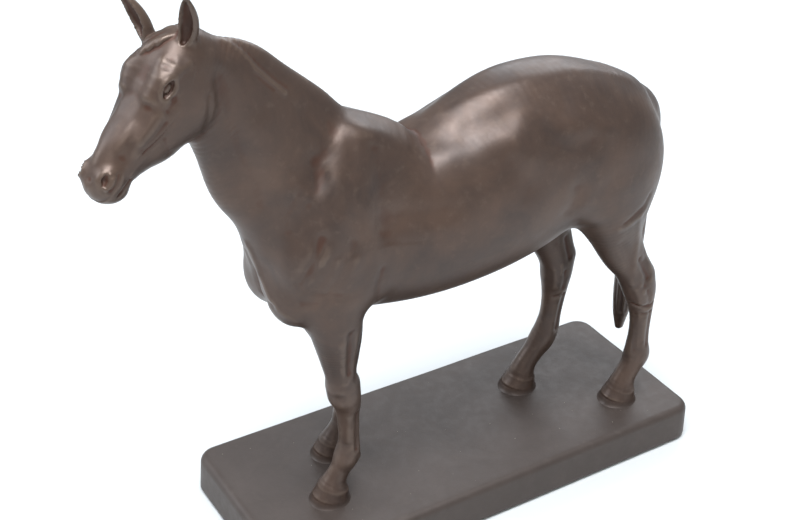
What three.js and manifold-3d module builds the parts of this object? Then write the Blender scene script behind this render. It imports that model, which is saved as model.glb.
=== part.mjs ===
// Statuette of a standing horse on a rectangular plinth: a hollow lost-wax casting
// assembled from torso, neck, legs and tail, with studs, nuts and a base board.
// Millimetres. +Z up, head toward -X, the horse's near (left) side toward -Y,
// origin in the middle of the underside of the felt pad.
import * as THREE from 'three';
import { mergeVertices } from 'three/addons/utils/BufferGeometryUtils.js';
import Module from 'manifold-3d';

// ---------------------------------------------------------------- driving dimensions
const PLINTH_LENGTH = 212.3;      // top edge to top edge
const PLINTH_WIDTH = 79.6;
const PLINTH_HEIGHT = 18.2;       // underside of the pad to the standing surface
const PLINTH_DRAFT = 2.9;         // how much wider each side is at the bottom
const PLINTH_CORNER_R = 5;
const PLINTH_EDGE_R = 1.8;
const PLATE_T = 4.0;              // thickness of the plinth's top plate
const RIM_T = 5.0;                // thickness of the plinth's side walls
const FELT_T = 1.0;
const BOARD_T = 3.0;
const GAP = 0.3;                  // clearance between seated pieces
const WALL = 4.8;                 // wall of the hollow castings
const LEG_CUT_Z = 100;            // level of the joints between torso and legs
const SPIGOT_R = 3.8, SPIGOT_TOP = 107;
const STUD_R = 2.0, STUD_BOTTOM = 7, STUD_TOP = 26;
const PIN_R = 1.1;
const NECK_CUT = { p: [-86, -1.5, 172], n: [-0.62, 0, 0.7846] };  // joint plane, normal toward the head
const FEET = { near_fore: [-70.3, -14], off_fore: [-55.3, 12], near_hind: [82.2, -20], off_hind: [46.6, 11] };
const SPIGOTS = { near_fore: [-69.6, -16.6], off_fore: [-66.2, 13.9], near_hind: [69.6, -18], off_hind: [53.6, 12] };

// ---------------------------------------------------------------- horse tables
// tube rows: x, y, z, half width, up radius, down radius, up exponent, down exponent
// (the up side is the cross product of the running direction and the side vector);
// balls: centre, radii, turn about y, z and x in degrees; k is the blend width.
// barrel from the breast to the buttocks, stations run head to tail
const TRUNK = [
  { k: 0, side: [0, 1, 0], sub: 4, cap: 0.9, rows: [
    [-91, -1.5, 142, 11, 17, 17, 2, 2],
    [-84, -1.5, 143, 17.5, 27, 29, 2, 2],
    [-74, -1.5, 145, 21, 36, 35, 1.9, 2.1],
    [-60, -1.5, 146, 23.5, 39.5, 38, 1.62, 2.1],
    [-46, -1.5, 144, 26, 37, 38.5, 1.68, 2.1],
    [-30, -1.5, 142, 28.5, 33, 39, 2, 2.1],
    [-14, -1.5, 142.5, 30, 37, 39.5, 2.1, 2.1],
    [4, -1.5, 146, 30.5, 41, 41, 2.1, 2.1],
    [20, -1.5, 150, 29.5, 40.5, 41.5, 2.1, 2.1],
    [36, -1.5, 153, 29, 37, 38, 2.1, 2.1],
    [52, -1.5, 152, 27.5, 34, 36, 2.05, 2.1],
    [65, -1.5, 147, 23.5, 33, 35, 2, 2],
    [76, -1.5, 144, 17, 29, 31, 2, 2],
    [83, -1.5, 141, 11, 24, 26, 2, 2]] },
];
// neck from the poll down to the withers; the up radius is the crest side
const NECK = [
  { k: 10, side: [0, 1, 0], sub: 4, cap: 0.9, rows: [
    [-126, -3.8, 221, 8, 13, 13, 1.9, 2],
    [-116, -3, 211.5, 9.5, 20, 17, 1.8, 2],
    [-104, -2, 198, 11.2, 26.5, 19.5, 1.7, 2],
    [-93, -1.5, 184, 13.5, 31.5, 22.5, 1.65, 2],
    [-82, -1.5, 169, 16.8, 35, 26, 1.65, 2],
    [-68, -1.5, 153, 20, 38, 27, 1.8, 2]] },
];
// the two pectoral swells
const BREAST = [
  { k: 8, c: [-84.5, -11, 129], r: [12, 9.6, 16.5], rot: [-12, 0, 0] },
  { k: 8, c: [-84.5, 8, 129], r: [12, 9.6, 16.5], rot: [-12, 0, 0] },
];
// skull from poll to muzzle (the up radius is the jaw side), then cheek, brow and nostril wing of each side, and the lower lip
const HEAD = [
  { k: 7, side: [-0.2756, 0.9613, 0], sub: 3, cap: 0.85, rows: [
    [-123.63, -3.09, 233.46, 8, 10, 7.5, 2, 2.1],
    [-126.96, -4.04, 227.19, 10.3, 13.5, 9.6, 2, 2.3],
    [-130.91, -5.18, 220.17, 11.4, 16, 11, 2, 2.5],
    [-135.59, -6.52, 213.8, 11.2, 19, 10.8, 2, 2.5],
    [-141.07, -8.09, 208.16, 10, 16.6, 9.8, 2, 2.3],
    [-146.96, -9.78, 203.55, 8.3, 12.4, 8.2, 2, 2.1],
    [-151.93, -11.21, 199.43, 7.2, 9.2, 7.2, 2, 2],
    [-156.15, -12.42, 195.3, 6.9, 7.8, 6.8, 2.1, 2],
    [-159.14, -13.27, 192.03, 6.5, 7, 5.8, 2.2, 2]] },
  { k: 5, c: [-127.88, -10.86, 211.05], r: [10.5, 4.4, 8.8], rot: [-38, 0, 0] },
  { k: 3, c: [-136.09, -15.61, 225.01], r: [4.2, 3.2, 4], rot: [0, 0, 0] },
  { k: 2.5, c: [-158.18, -17.78, 195.62], r: [4.2, 2.6, 4], rot: [0, 0, 0] },
  { k: 5, c: [-131.35, 1.25, 211.05], r: [10.5, 4.4, 8.8], rot: [-38, 0, 0] },
  { k: 3, c: [-140.83, 0.92, 225.01], r: [4.2, 3.2, 4], rot: [0, 0, 0] },
  { k: 2.5, c: [-160.71, -8.94, 195.62], r: [4.2, 2.6, 4], rot: [0, 0, 0] },
  { k: 3, c: [-154.59, -11.97, 189.24], r: [3.6, 4.4, 3.2], rot: [0, 0, 0] },
];
// near ear, far ear, tip first
const EARS = [
  { k: 2.5, side: [-0.2756, 0.9613, 0], sub: 3, cap: 0.6, rows: [
    [-130.49, -16.92, 250.45, 0.7, 0.7, 0.7],
    [-129.62, -16.39, 247.91, 2.1, 1.4, 1.4],
    [-128.53, -15.5, 244.53, 3.4, 2.1, 2],
    [-127.41, -13.98, 240.64, 3.7, 2.6, 2.2],
    [-126.49, -12.01, 236.92, 3.3, 3, 2.6],
    [-125.73, -9.93, 233.54, 3.2, 3.2, 3]] },
  { k: 2.5, side: [-0.2756, 0.9613, 0], sub: 3, cap: 0.6, rows: [
    [-136.77, 5, 250.45, 0.7, 0.7, 0.7],
    [-135.76, 5.01, 247.91, 2.1, 1.4, 1.4],
    [-134.36, 4.84, 244.53, 3.4, 2.1, 2],
    [-132.61, 4.15, 240.64, 3.7, 2.6, 2.2],
    [-130.78, 2.96, 236.92, 3.3, 3, 2.6],
    [-129.04, 1.6, 233.54, 3.2, 3.2, 3]] },
];
// shoulder blade, arm mass, shoulder point, limb from elbow to coronet, hoof
const NEAR_FORE = [
  { k: 9, side: [0, 1, 0], sub: 3, cap: 0.8, rows: [
    [-57, -10.5, 182, 5, 13, 10],
    [-68, -15.5, 163, 7.5, 17, 13],
    [-80, -18, 146, 8.5, 18, 13]] },
  { k: 7, c: [-68, -18, 134], r: [17.5, 9.2, 20], rot: [-25, 0, 0] },
  { k: 6, c: [-86, -17, 142], r: [9, 7.5, 10], rot: [20, 0, 0] },
  { k: 5, side: [0, 1, 0], sub: 2, cap: 0.9, rows: [
    [-72, -17.5, 124, 8.5, 11.5, 12.5],
    [-70.8, -17.15, 112, 8.9, 11.5, 11],
    [-69.2, -16.45, 102, 8.2, 10.4, 9.3],
    [-67.8, -15.93, 92, 6.6, 8.4, 7.6],
    [-66.8, -15.57, 83, 5.9, 6.9, 6.4],
    [-66.3, -15.22, 77.5, 6.5, 7.2, 6.7],
    [-65.8, -15.05, 72.5, 6.6, 7.4, 6.5],
    [-65, -14.88, 67, 5.5, 6, 5.6],
    [-64.4, -14.7, 61, 4.4, 5, 4.8],
    [-63.9, -14.53, 54, 3.9, 4.8, 4.4],
    [-63.6, -14.35, 47, 3.9, 4.8, 4.4],
    [-63.9, -14.17, 41.5, 4.8, 5.6, 5],
    [-64.8, -14.11, 37.5, 5.1, 5.8, 5.2],
    [-66.8, -14, 33, 4.3, 4.6, 4.5],
    [-69.2, -14, 28.5, 4.6, 4.8, 4.8],
    [-70.6, -14, 25.5, 5.4, 5.6, 5.6]] },
  { k: 1.6, side: [0, 1, 0], sub: 1, cap: 0.2, rows: [
    [-69.4, -14, 27.2, 6, 6.3, 5.6],
    [-70.4, -14, 24, 6.8, 7, 7.2],
    [-71.2, -14, 20, 7.6, 7.6, 8.6],
    [-71.6, -14, 15, 8.2, 8, 9.6]] },
];
// the same pieces for the off fore, which stands further back
const OFF_FORE = [
  { k: 9, side: [0, 1, 0], sub: 3, cap: 0.8, rows: [
    [-57, 7.5, 182, 5, 13, 10],
    [-68, 12.5, 163, 7.5, 17, 13],
    [-80, 15, 146, 8.5, 18, 13]] },
  { k: 7, c: [-68, 15, 134], r: [17.5, 9.2, 20], rot: [-25, 0, 0] },
  { k: 6, c: [-86, 14, 142], r: [9, 7.5, 10], rot: [20, 0, 0] },
  { k: 5, side: [0, 1, 0], sub: 2, cap: 0.9, rows: [
    [-72, 14.5, 124, 8.5, 11.5, 12.5],
    [-69.3, 14.25, 112, 8.9, 11.5, 11],
    [-64.7, 13.75, 102, 8.2, 10.4, 9.3],
    [-61.05, 13.38, 92, 6.6, 8.4, 7.6],
    [-57.8, 13.12, 83, 5.9, 6.9, 6.4],
    [-55.8, 12.88, 77.5, 6.5, 7.2, 6.7],
    [-54.55, 12.75, 72.5, 6.6, 7.4, 6.5],
    [-53, 12.62, 67, 5.5, 6, 5.6],
    [-51.65, 12.5, 61, 4.4, 5, 4.8],
    [-50.4, 12.38, 54, 3.9, 4.8, 4.4],
    [-49.65, 12.25, 47, 3.9, 4.8, 4.4],
    [-49.5, 12.12, 41.5, 4.8, 5.6, 5],
    [-50.1, 12.08, 37.5, 5.1, 5.8, 5.2],
    [-51.8, 12, 33, 4.3, 4.6, 4.5],
    [-54.2, 12, 28.5, 4.6, 4.8, 4.8],
    [-55.6, 12, 25.5, 5.4, 5.6, 5.6]] },
  { k: 1.6, side: [0, 1, 0], sub: 1, cap: 0.2, rows: [
    [-54.4, 12, 27.2, 6, 6.3, 5.6],
    [-55.4, 12, 24, 6.8, 7, 7.2],
    [-56.2, 12, 20, 7.6, 7.6, 8.6],
    [-56.6, 12, 15, 8.2, 8, 9.6]] },
];
// thigh, hamstrings, limb from stifle to coronet, hoof
const NEAR_HIND = [
  { k: 10, c: [59, -16, 143], r: [25, 13, 30.5], rot: [-14, 0, 0] },
  { k: 9, c: [71.5, -14, 135], r: [14.5, 9.5, 27], rot: [0, 0, 0] },
  { k: 8, side: [0, 1, 0], sub: 2, cap: 0.9, rows: [
    [55, -16, 140, 12, 22, 18],
    [58, -16.8, 125, 11.5, 20, 14],
    [64, -17.6, 112, 9, 15, 11.5],
    [71.5, -18.2, 100, 7.2, 11.5, 9.8],
    [77.5, -18.8, 91.5, 6.4, 10.6, 7.6],
    [82.5, -19.2, 84, 6.5, 10.2, 7.6],
    [86, -19.44, 77, 6.3, 8.6, 7.6],
    [88, -19.6, 70, 5.3, 6.6, 6.4],
    [89, -19.72, 62, 4.4, 5.5, 5.4],
    [89.3, -19.84, 53, 4.2, 5.2, 5.2],
    [89.2, -19.92, 46, 4.7, 6, 5.7],
    [88.4, -20, 40.5, 5.5, 6.8, 6.2],
    [86, -20, 35, 4.9, 5.5, 5.2],
    [83.4, -20, 30, 5, 5.3, 5.4],
    [82, -20, 26.5, 5.6, 6, 6]] },
  { k: 1.6, side: [0, 1, 0], sub: 1, cap: 0.2, rows: [
    [82.8, -20, 27.2, 6.18, 6.49, 5.77],
    [81.8, -20, 24, 7, 7.21, 7.42],
    [81, -20, 20, 7.83, 7.83, 8.86],
    [80.6, -20, 15, 8.45, 8.24, 9.89]] },
];
// the same pieces for the off hind, which is set forward under the belly
const OFF_HIND = [
  { k: 10, c: [59, 13, 143], r: [25, 13, 30.5], rot: [-14, 0, 0] },
  { k: 9, c: [71.5, 11, 135], r: [14.5, 9.5, 27], rot: [0, 0, 0] },
  { k: 8, side: [0, 1, 0], sub: 2, cap: 0.9, rows: [
    [50, 13, 140, 12, 22, 18],
    [50, 12.6, 125, 11.5, 21, 16],
    [51, 12.2, 112, 9.2, 15.5, 13],
    [54.5, 11.9, 100, 7.2, 11.5, 9.8],
    [57.5, 11.6, 91.5, 6.4, 10.6, 7.6],
    [60, 11.4, 84, 6.5, 10.2, 7.6],
    [61, 11.28, 77, 6.3, 8.6, 7.6],
    [61.2, 11.2, 70, 5.4, 7, 6.6],
    [60.8, 11.14, 62, 4.5, 6.2, 5.6],
    [60, 11.08, 54, 4.3, 5.9, 5.3],
    [58.8, 11.04, 47.5, 4.9, 6.6, 5.9],
    [56.5, 11, 41.5, 5.5, 6.8, 6.2],
    [52, 11, 35.5, 4.9, 5.5, 5.2],
    [48.4, 11, 30.5, 5, 5.3, 5.4],
    [46.6, 11, 26.8, 5.6, 6, 6]] },
  { k: 1.6, side: [0, 1, 0], sub: 1, cap: 0.2, rows: [
    [47.2, 11, 27.2, 6.18, 6.49, 5.77],
    [46.2, 11, 24, 7, 7.21, 7.42],
    [45.4, 11, 20, 7.83, 7.83, 8.86],
    [45, 11, 15, 8.45, 8.24, 9.89]] },
];
// tail from the dock to the tip
const TAIL = [
  { k: 4, side: [0, 1, 0], sub: 3, cap: 0.8, rows: [
    [74, -1.5, 170, 4.5, 4, 4],
    [83, -1.5, 164.5, 4.6, 4.2, 4.2],
    [88, -1.5, 155, 5.2, 4.2, 4.2],
    [90.5, -1.5, 142, 5.6, 4.4, 4.4],
    [91.5, -1.5, 125, 6, 4.8, 4.8],
    [92.5, -1.5, 106, 6.4, 5.2, 5.2],
    [93, -1.5, 88, 6.2, 5.2, 5.2],
    [93, -1.2, 70, 5.4, 5, 5],
    [93, -0.9, 55, 3.8, 4, 4],
    [93.5, -0.7, 45, 1.6, 2, 2]] },
];

// ---------------------------------------------------------------- soft-blended body field
function smooth(rows, sub) {
  const n = rows.length, m = rows[0].length, out = [];
  const dist = (a, b) => Math.max(Math.hypot(b[0] - a[0], b[1] - a[1], b[2] - a[2]), 1e-6);
  for (let i = 0; i < n - 1; i++) {
    const p0 = rows[Math.max(i - 1, 0)], p1 = rows[i], p2 = rows[i + 1], p3 = rows[Math.min(i + 2, n - 1)];
    const d01 = dist(p0, p1), d12 = dist(p1, p2), d23 = dist(p2, p3);
    for (let j = 0; j < sub; j++) {
      const t = j / sub, t2 = t * t, t3 = t2 * t, r = [];
      for (let c = 0; c < m; c++) {
        const s = p2[c] - p1[c];
        const m1 = i === 0 ? s : ((p1[c] - p0[c]) / d01 * d12 + s) / 2;
        const m2 = i === n - 2 ? s : (s + (p3[c] - p2[c]) / d23 * d12) / 2;
        r.push((2 * t3 - 3 * t2 + 1) * p1[c] + (t3 - 2 * t2 + t) * m1 + (-2 * t3 + 3 * t2) * p2[c] + (t3 - t2) * m2);
      }
      out.push(r);
    }
  }
  out.push(rows[n - 1]);
  return out;
}

const V = (a) => new THREE.Vector3(a[0], a[1], a[2]);

function makeTube({ k, side, sub, cap, rows }) {
  const st = smooth(rows, sub), n = st.length, S0 = V(side);
  const C = st.map(V), S = [], U = [];
  for (let i = 0; i < n; i++) {
    const T = C[Math.min(i + 1, n - 1)].clone().sub(C[Math.max(i - 1, 0)]).normalize();
    const s = S0.clone().addScaledVector(T, -S0.dot(T)).normalize();
    S.push(s); U.push(T.clone().cross(s).normalize());
  }
  const a = st.map((r) => Math.max(r[3], 0.2)), bu = st.map((r) => Math.max(r[4], 0.2)), bd = st.map((r) => Math.max(r[5], 0.2));
  const nu = st.map((r) => (r.length > 6 ? r[6] : 2)), nd = st.map((r) => (r.length > 7 ? r[7] : r.length > 6 ? r[6] : 2));
  const segs = [];
  const box = new THREE.Box3();
  for (let i = 0; i < n - 1; i++) {
    const m = Math.max(a[i], bu[i], bd[i], a[i + 1], bu[i + 1], bd[i + 1]);
    const b = new THREE.Box3().setFromPoints([C[i], C[i + 1]]).expandByScalar(m);
    box.union(b);
    segs.push({ i, box: b, D: C[i + 1].clone().sub(C[i]) });
  }
  const far = (x, y, z, b, mar) => x < b.min.x - mar || x > b.max.x + mar || y < b.min.y - mar || y > b.max.y + mar || z < b.min.z - mar || z > b.max.z + mar;
  return { k, value(x, y, z, mar) {
    if (far(x, y, z, box, mar)) return 1e3;
    let best = 1e3;
    for (const g of segs) {
      if (far(x, y, z, g.box, mar)) continue;
      const i = g.i, A = C[i], D = g.D, L2 = D.lengthSq(), L = Math.sqrt(L2);
      const qx = x - A.x, qy = y - A.y, qz = z - A.z;
      const q = (qx * D.x + qy * D.y + qz * D.z) / L2, t = Math.min(1, Math.max(0, q)), t1 = 1 - t;
      const dx = qx - t * D.x, dy = qy - t * D.y, dz = qz - t * D.z;
      const u = Math.abs(dx * (t1 * S[i].x + t * S[i + 1].x) + dy * (t1 * S[i].y + t * S[i + 1].y) + dz * (t1 * S[i].z + t * S[i + 1].z));
      const v = dx * (t1 * U[i].x + t * U[i + 1].x) + dy * (t1 * U[i].y + t * U[i + 1].y) + dz * (t1 * U[i].z + t * U[i + 1].z);
      const w = Math.abs((q - t) * L), up = v > 0;
      const ra = t1 * a[i] + t * a[i + 1], rb = up ? t1 * bu[i] + t * bu[i + 1] : t1 * bd[i] + t * bd[i + 1], rc = Math.min(ra, rb) * cap;
      const e = up ? t1 * nu[i] + t * nu[i + 1] : t1 * nd[i] + t * nd[i + 1];
      const ua = Math.max(u / ra, 1e-9), vb = Math.max(Math.abs(v) / rb, 1e-9), wc = Math.max(w / rc, 1e-9);
      const pa = ua ** e, pb = vb ** e, pc = wc ** e, ss = pa + pb + pc, k0 = ss ** (1 / e);
      const gr = Math.hypot(pa / (ua * ra), pb / (vb * rb), pc / (wc * rc)) * k0 / ss;
      best = Math.min(best, (k0 - 1) / Math.max(gr, 1e-4));
    }
    return best;
  } };
}

function makeBall({ k, c, r, rot }) {
  const d = Math.PI / 180;
  const M = new THREE.Matrix4().makeRotationX(rot[2] * d).multiply(new THREE.Matrix4().makeRotationZ(rot[1] * d)).multiply(new THREE.Matrix4().makeRotationY(rot[0] * d));
  const I = M.clone().invert(), e = Math.max(...r), p = new THREE.Vector3();
  return { k, value(x, y, z, mar) {
    p.set(x - c[0], y - c[1], z - c[2]);
    if (p.length() > e + mar) return 1e3;
    p.applyMatrix4(I);
    const a = p.x / r[0], b = p.y / r[1], g = p.z / r[2];
    const k0 = Math.hypot(a, b, g), k1 = Math.hypot(a / r[0], b / r[1], g / r[2]);
    return k0 * (k0 - 1) / Math.max(k1, 1e-6);
  } };
}

const make = (o) => (o.rows ? makeTube(o) : makeBall(o));
function field(groups) {
  const prims = groups.flat().map(make);
  return (x, y, z, mar = 13) => {
    let d = 60;
    for (const p of prims) {
      const f = p.value(x, y, z, mar), h = p.k > 0 ? Math.max(p.k - Math.abs(d - f), 0) / p.k : 0;
      d = Math.min(d, f) - h * h * p.k * 0.25;
    }
    return d;
  };
}

// Closed quad net of the level surface f = level inside a box, vertices pulled onto the surface.
function net(f, lo, hi, h, level = 0) {
  const n = [0, 1, 2].map((i) => Math.ceil((hi[i] - lo[i]) / h) + 1), [nx, ny, nz] = n;
  const at = (i, j, k) => (i * ny + j) * nz + k, G = new Float32Array(nx * ny * nz);
  for (let i = 0; i < nx; i++) for (let j = 0; j < ny; j++) for (let k = 0; k < nz; k++) {
    const edge = i === 0 || j === 0 || k === 0 || i === nx - 1 || j === ny - 1 || k === nz - 1;
    G[at(i, j, k)] = edge ? 5 : f(lo[0] + i * h, lo[1] + j * h, lo[2] + k * h) - level;
  }
  const id = new Int32Array(nx * ny * nz).fill(-1), P = [], tri = [];
  const corner = [[0, 0, 0], [1, 0, 0], [0, 1, 0], [1, 1, 0], [0, 0, 1], [1, 0, 1], [0, 1, 1], [1, 1, 1]];
  for (let i = 0; i < nx - 1; i++) for (let j = 0; j < ny - 1; j++) for (let k = 0; k < nz - 1; k++) {
    let s = 0, x = 0, y = 0, z = 0, c = 0;
    for (const [a, b, d] of corner) if (G[at(i + a, j + b, k + d)] < 0) s++;
    if (s === 0 || s === 8) continue;
    for (let p = 0; p < 8; p++) for (let q = p + 1; q < 8; q++) {
      const A = corner[p], B = corner[q];
      if (Math.abs(A[0] - B[0]) + Math.abs(A[1] - B[1]) + Math.abs(A[2] - B[2]) !== 1) continue;
      const ga = G[at(i + A[0], j + A[1], k + A[2])], gb = G[at(i + B[0], j + B[1], k + B[2])];
      if ((ga < 0) === (gb < 0)) continue;
      const t = ga / (ga - gb);
      x += A[0] + t * (B[0] - A[0]); y += A[1] + t * (B[1] - A[1]); z += A[2] + t * (B[2] - A[2]); c++;
    }
    id[at(i, j, k)] = P.length / 3;
    P.push(lo[0] + (i + x / c) * h, lo[1] + (j + y / c) * h, lo[2] + (k + z / c) * h);
  }
  const quad = (a, b, c, d, flip) => { if (flip) tri.push(a, c, b, a, d, c); else tri.push(a, b, c, a, c, d); };
  for (let i = 0; i < nx - 1; i++) for (let j = 0; j < ny - 1; j++) for (let k = 0; k < nz - 1; k++) {
    const g = G[at(i, j, k)] < 0;
    if (j && k && g !== G[at(i + 1, j, k)] < 0) quad(id[at(i, j - 1, k - 1)], id[at(i, j, k - 1)], id[at(i, j, k)], id[at(i, j - 1, k)], !g);
    if (i && k && g !== G[at(i, j + 1, k)] < 0) quad(id[at(i - 1, j, k - 1)], id[at(i - 1, j, k)], id[at(i, j, k)], id[at(i, j, k - 1)], !g);
    if (i && j && g !== G[at(i, j, k + 1)] < 0) quad(id[at(i - 1, j - 1, k)], id[at(i, j - 1, k)], id[at(i, j, k)], id[at(i - 1, j, k)], !g);
  }
  for (let v = 0; v < P.length; v += 3) {
    const near = [0, 1, 2].some((a) => P[v + a] < lo[a] + 1.5 * h || P[v + a] > lo[a] + (n[a] - 2.5) * h);
    if (near) continue;
    for (let it = 0; it < 3; it++) {
      const e = 0.05, [x, y, z] = [P[v], P[v + 1], P[v + 2]], w = f(x, y, z) - level;
      const g = [f(x + e, y, z) - f(x - e, y, z), f(x, y + e, z) - f(x, y - e, z), f(x, y, z + e) - f(x, y, z - e)].map((q) => q / (2 * e));
      const g2 = Math.max(g[0] ** 2 + g[1] ** 2 + g[2] ** 2, 0.05), s = Math.max(-0.35 * h, Math.min(0.35 * h, w / g2));
      for (let a = 0; a < 3; a++) P[v + a] -= s * g[a];
    }
  }
  return { P: new Float32Array(P), tri: new Uint32Array(tri) };
}

// ---------------------------------------------------------------- solids
const wasm = await Module();
wasm.setup();

function solid(geometry, matrix) {
  const g = geometry.clone();
  if (matrix) g.applyMatrix4(matrix);
  g.deleteAttribute('normal'); g.deleteAttribute('uv');
  const m = mergeVertices(g, 1e-4);
  return new wasm.Manifold(new wasm.Mesh({ numProp: 3, vertProperties: new Float32Array(m.attributes.position.array), triVerts: new Uint32Array(m.index.array) }));
}

// a level surface as a solid; the lattice is shifted a little if two sheets share a cell
function levelSolid(f, lo, hi, h, level = 0) {
  for (let s = 0; s < 24; s++) {
    const shift = s * 0.37 % 1, { P, tri } = net(f, lo.map((v, i) => v - shift * h * [1, 0.7, 0.45][i]), hi, h, level);
    const edges = new Set();
    let clash = false;
    for (let t = 0; t < tri.length && !clash; t += 3) for (let k = 0; k < 3; k++) {
      const e = tri[t + k] * 1e6 + tri[t + (k + 1) % 3];
      if (edges.has(e)) { clash = true; break; }
      edges.add(e);
    }
    if (clash) continue;
    try {
      const m = new wasm.Manifold(new wasm.Mesh({ numProp: 3, vertProperties: P, triVerts: tri }));
      if (m.volume() > 0) return m;
    } catch (e) { /* try the next lattice */ }
  }
  throw new Error('no closed net');
}
const biggest = (m) => m.decompose().sort((a, b) => b.volume() - a.volume())[0];

const mat4 = (px, py, pz, rx = 0, ry = 0, rz = 0) => new THREE.Matrix4().compose(new THREE.Vector3(px, py, pz), new THREE.Quaternion().setFromEuler(new THREE.Euler(rx, ry, rz)), new THREE.Vector3(1, 1, 1));
const boxSolid = (x0, x1, y0, y1, z0, z1) => solid(new THREE.BoxGeometry(x1 - x0, y1 - y0, z1 - z0), mat4((x0 + x1) / 2, (y0 + y1) / 2, (z0 + z1) / 2));
const rod = (x, y, z0, z1, r, seg = 20) => solid(new THREE.CylinderGeometry(r, r, z1 - z0, seg), mat4(x, y, (z0 + z1) / 2, Math.PI / 2));
function rodBetween(a, b, r, seg = 12) {
  const A = V(a), B = V(b), d = B.clone().sub(A), q = new THREE.Quaternion().setFromUnitVectors(new THREE.Vector3(0, 1, 0), d.clone().normalize());
  return solid(new THREE.CylinderGeometry(r, r, d.length(), seg), new THREE.Matrix4().compose(A.add(B).multiplyScalar(0.5), q, new THREE.Vector3(1, 1, 1)));
}
// everything on the head side (+1) or the rump side (-1) of the neck joint, moved off it by half the gap
function neckSide(sign, off = GAP / 2) {
  const n = V(NECK_CUT.n).normalize().multiplyScalar(sign), q = new THREE.Quaternion().setFromUnitVectors(new THREE.Vector3(0, 0, 1), n);
  const c = V(NECK_CUT.p).addScaledVector(n, 200 + off);
  return solid(new THREE.BoxGeometry(400, 200, 400), new THREE.Matrix4().compose(c, q, new THREE.Vector3(1, 1, 1)));
}
// closed loft through rings of equal count, each ring an array of [x, y, z]
function loft(rings) {
  const n = rings[0].length, P = rings.flat().flat(), tri = [];
  for (let k = 0; k < rings.length - 1; k++) for (let i = 0; i < n; i++) {
    const j = (i + 1) % n, a = k * n + i, b = k * n + j, c = (k + 1) * n + j, d = (k + 1) * n + i;
    tri.push(a, b, c, a, c, d);
  }
  const last = (rings.length - 1) * n;
  for (let i = 1; i < n - 1; i++) { tri.push(0, i + 1, i); tri.push(last, last + i, last + i + 1); }
  const g = new THREE.BufferGeometry();
  g.setAttribute('position', new THREE.BufferAttribute(new Float32Array(P), 3));
  g.setIndex(tri);
  return g;
}
// rounded rectangle outline, counter-clockwise, grown by o
function outline(o, z, seg = 5) {
  const hx = PLINTH_LENGTH / 2 - PLINTH_CORNER_R, hy = PLINTH_WIDTH / 2 - PLINTH_CORNER_R, r = Math.max(PLINTH_CORNER_R + o, 0.6), s = Math.min(0, PLINTH_CORNER_R + o - 0.6), out = [];
  [[1, 1, 0], [-1, 1, 1], [-1, -1, 2], [1, -1, 3]].forEach(([sx, sy, q]) => {
    for (let i = 0; i <= seg; i++) {
      const a = (q + i / seg) * Math.PI / 2;
      out.push([sx * (hx + s) + r * Math.cos(a), sy * (hy + s) + r * Math.sin(a), z]);
    }
  });
  return out;
}

// ---------------------------------------------------------------- castings
const bodyGroups = [TRUNK, NECK, BREAST, HEAD, NEAR_FORE, OFF_FORE, NEAR_HIND, OFF_HIND];
const body = field(bodyGroups);
const tailField = field([TAIL]);

const torsoOuter = levelSolid(body, [-112, -40, 84], [104, 38, 204], 8.0);
const cavity = biggest(levelSolid(body, [-120, -34, 88], [96, 32, 214], 10, -WALL));
const cavityOpen = cavity.intersect(boxSolid(-140, 100, -40, 40, 104.5, 216));

// neck joint sleeve: follows the inside of the wall on both sides of the joint plane
const nn = V(NECK_CUT.n).normalize(), ss = new THREE.Vector3(0, 1, 0), uu = nn.clone().cross(ss).normalize();
function neckRing(level, off, seg = 16) {
  const c = V(NECK_CUT.p).addScaledVector(nn, off), out = [];
  for (let i = 0; i < seg; i++) {
    const a = i / seg * 2 * Math.PI, d = ss.clone().multiplyScalar(Math.cos(a)).addScaledVector(uu, -Math.sin(a));
    let r0 = 0, r1 = 60;
    for (let it = 0; it < 30; it++) { const r = (r0 + r1) / 2, p = c.clone().addScaledVector(d, r); if (body(p.x, p.y, p.z, 30) < level) r0 = r; else r1 = r; }
    const p = c.clone().addScaledVector(d, r0); out.push([p.x, p.y, p.z]);
  }
  return out;
}
const offs = [-6.5, 0, 6.5];
const orient = (g) => { const m = solid(g); return m.volume() > 0 ? m : null; };
function ringSolid(level, grow) {
  const rings = offs.map((o) => neckRing(level, o + Math.sign(o) * grow));
  return orient(loft(rings)) ?? orient(loft(rings.reverse()));
}
const sleeveSeat = ringSolid(-WALL + 0.1, GAP), sleeveOuter = ringSolid(-WALL - GAP, 0), sleeveInner = ringSolid(-WALL - GAP - 2.2, 2);
let sleeve = sleeveOuter.subtract(sleeveInner);

// pins through the neck joint, two on each side of it
const neckPins = [], neckPinHoles = [];
[[0, 3.4], [Math.PI, 3.4], [0, -3.4], [Math.PI, -3.4]].forEach(([a, off]) => {
  const at = (lv) => { const r = neckRing(lv, off, 16)[a === 0 ? 0 : 8]; return V(r); };
  const outer = at(-0.7), inner = at(-WALL - GAP - 1.9);
  neckPins.push(rodBetween(outer.toArray(), inner.toArray(), PIN_R));
  const d = outer.clone().sub(inner).normalize();
  neckPinHoles.push(rodBetween(outer.clone().addScaledVector(d, 4).toArray(), inner.clone().addScaledVector(d, -0.3).toArray(), PIN_R + GAP));
});

let torso = torsoOuter.intersect(neckSide(-1)).intersect(boxSolid(-130, 120, -60, 60, LEG_CUT_Z + GAP / 2, 230));
torso = torso.subtract(cavityOpen).subtract(sleeveSeat);

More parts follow.
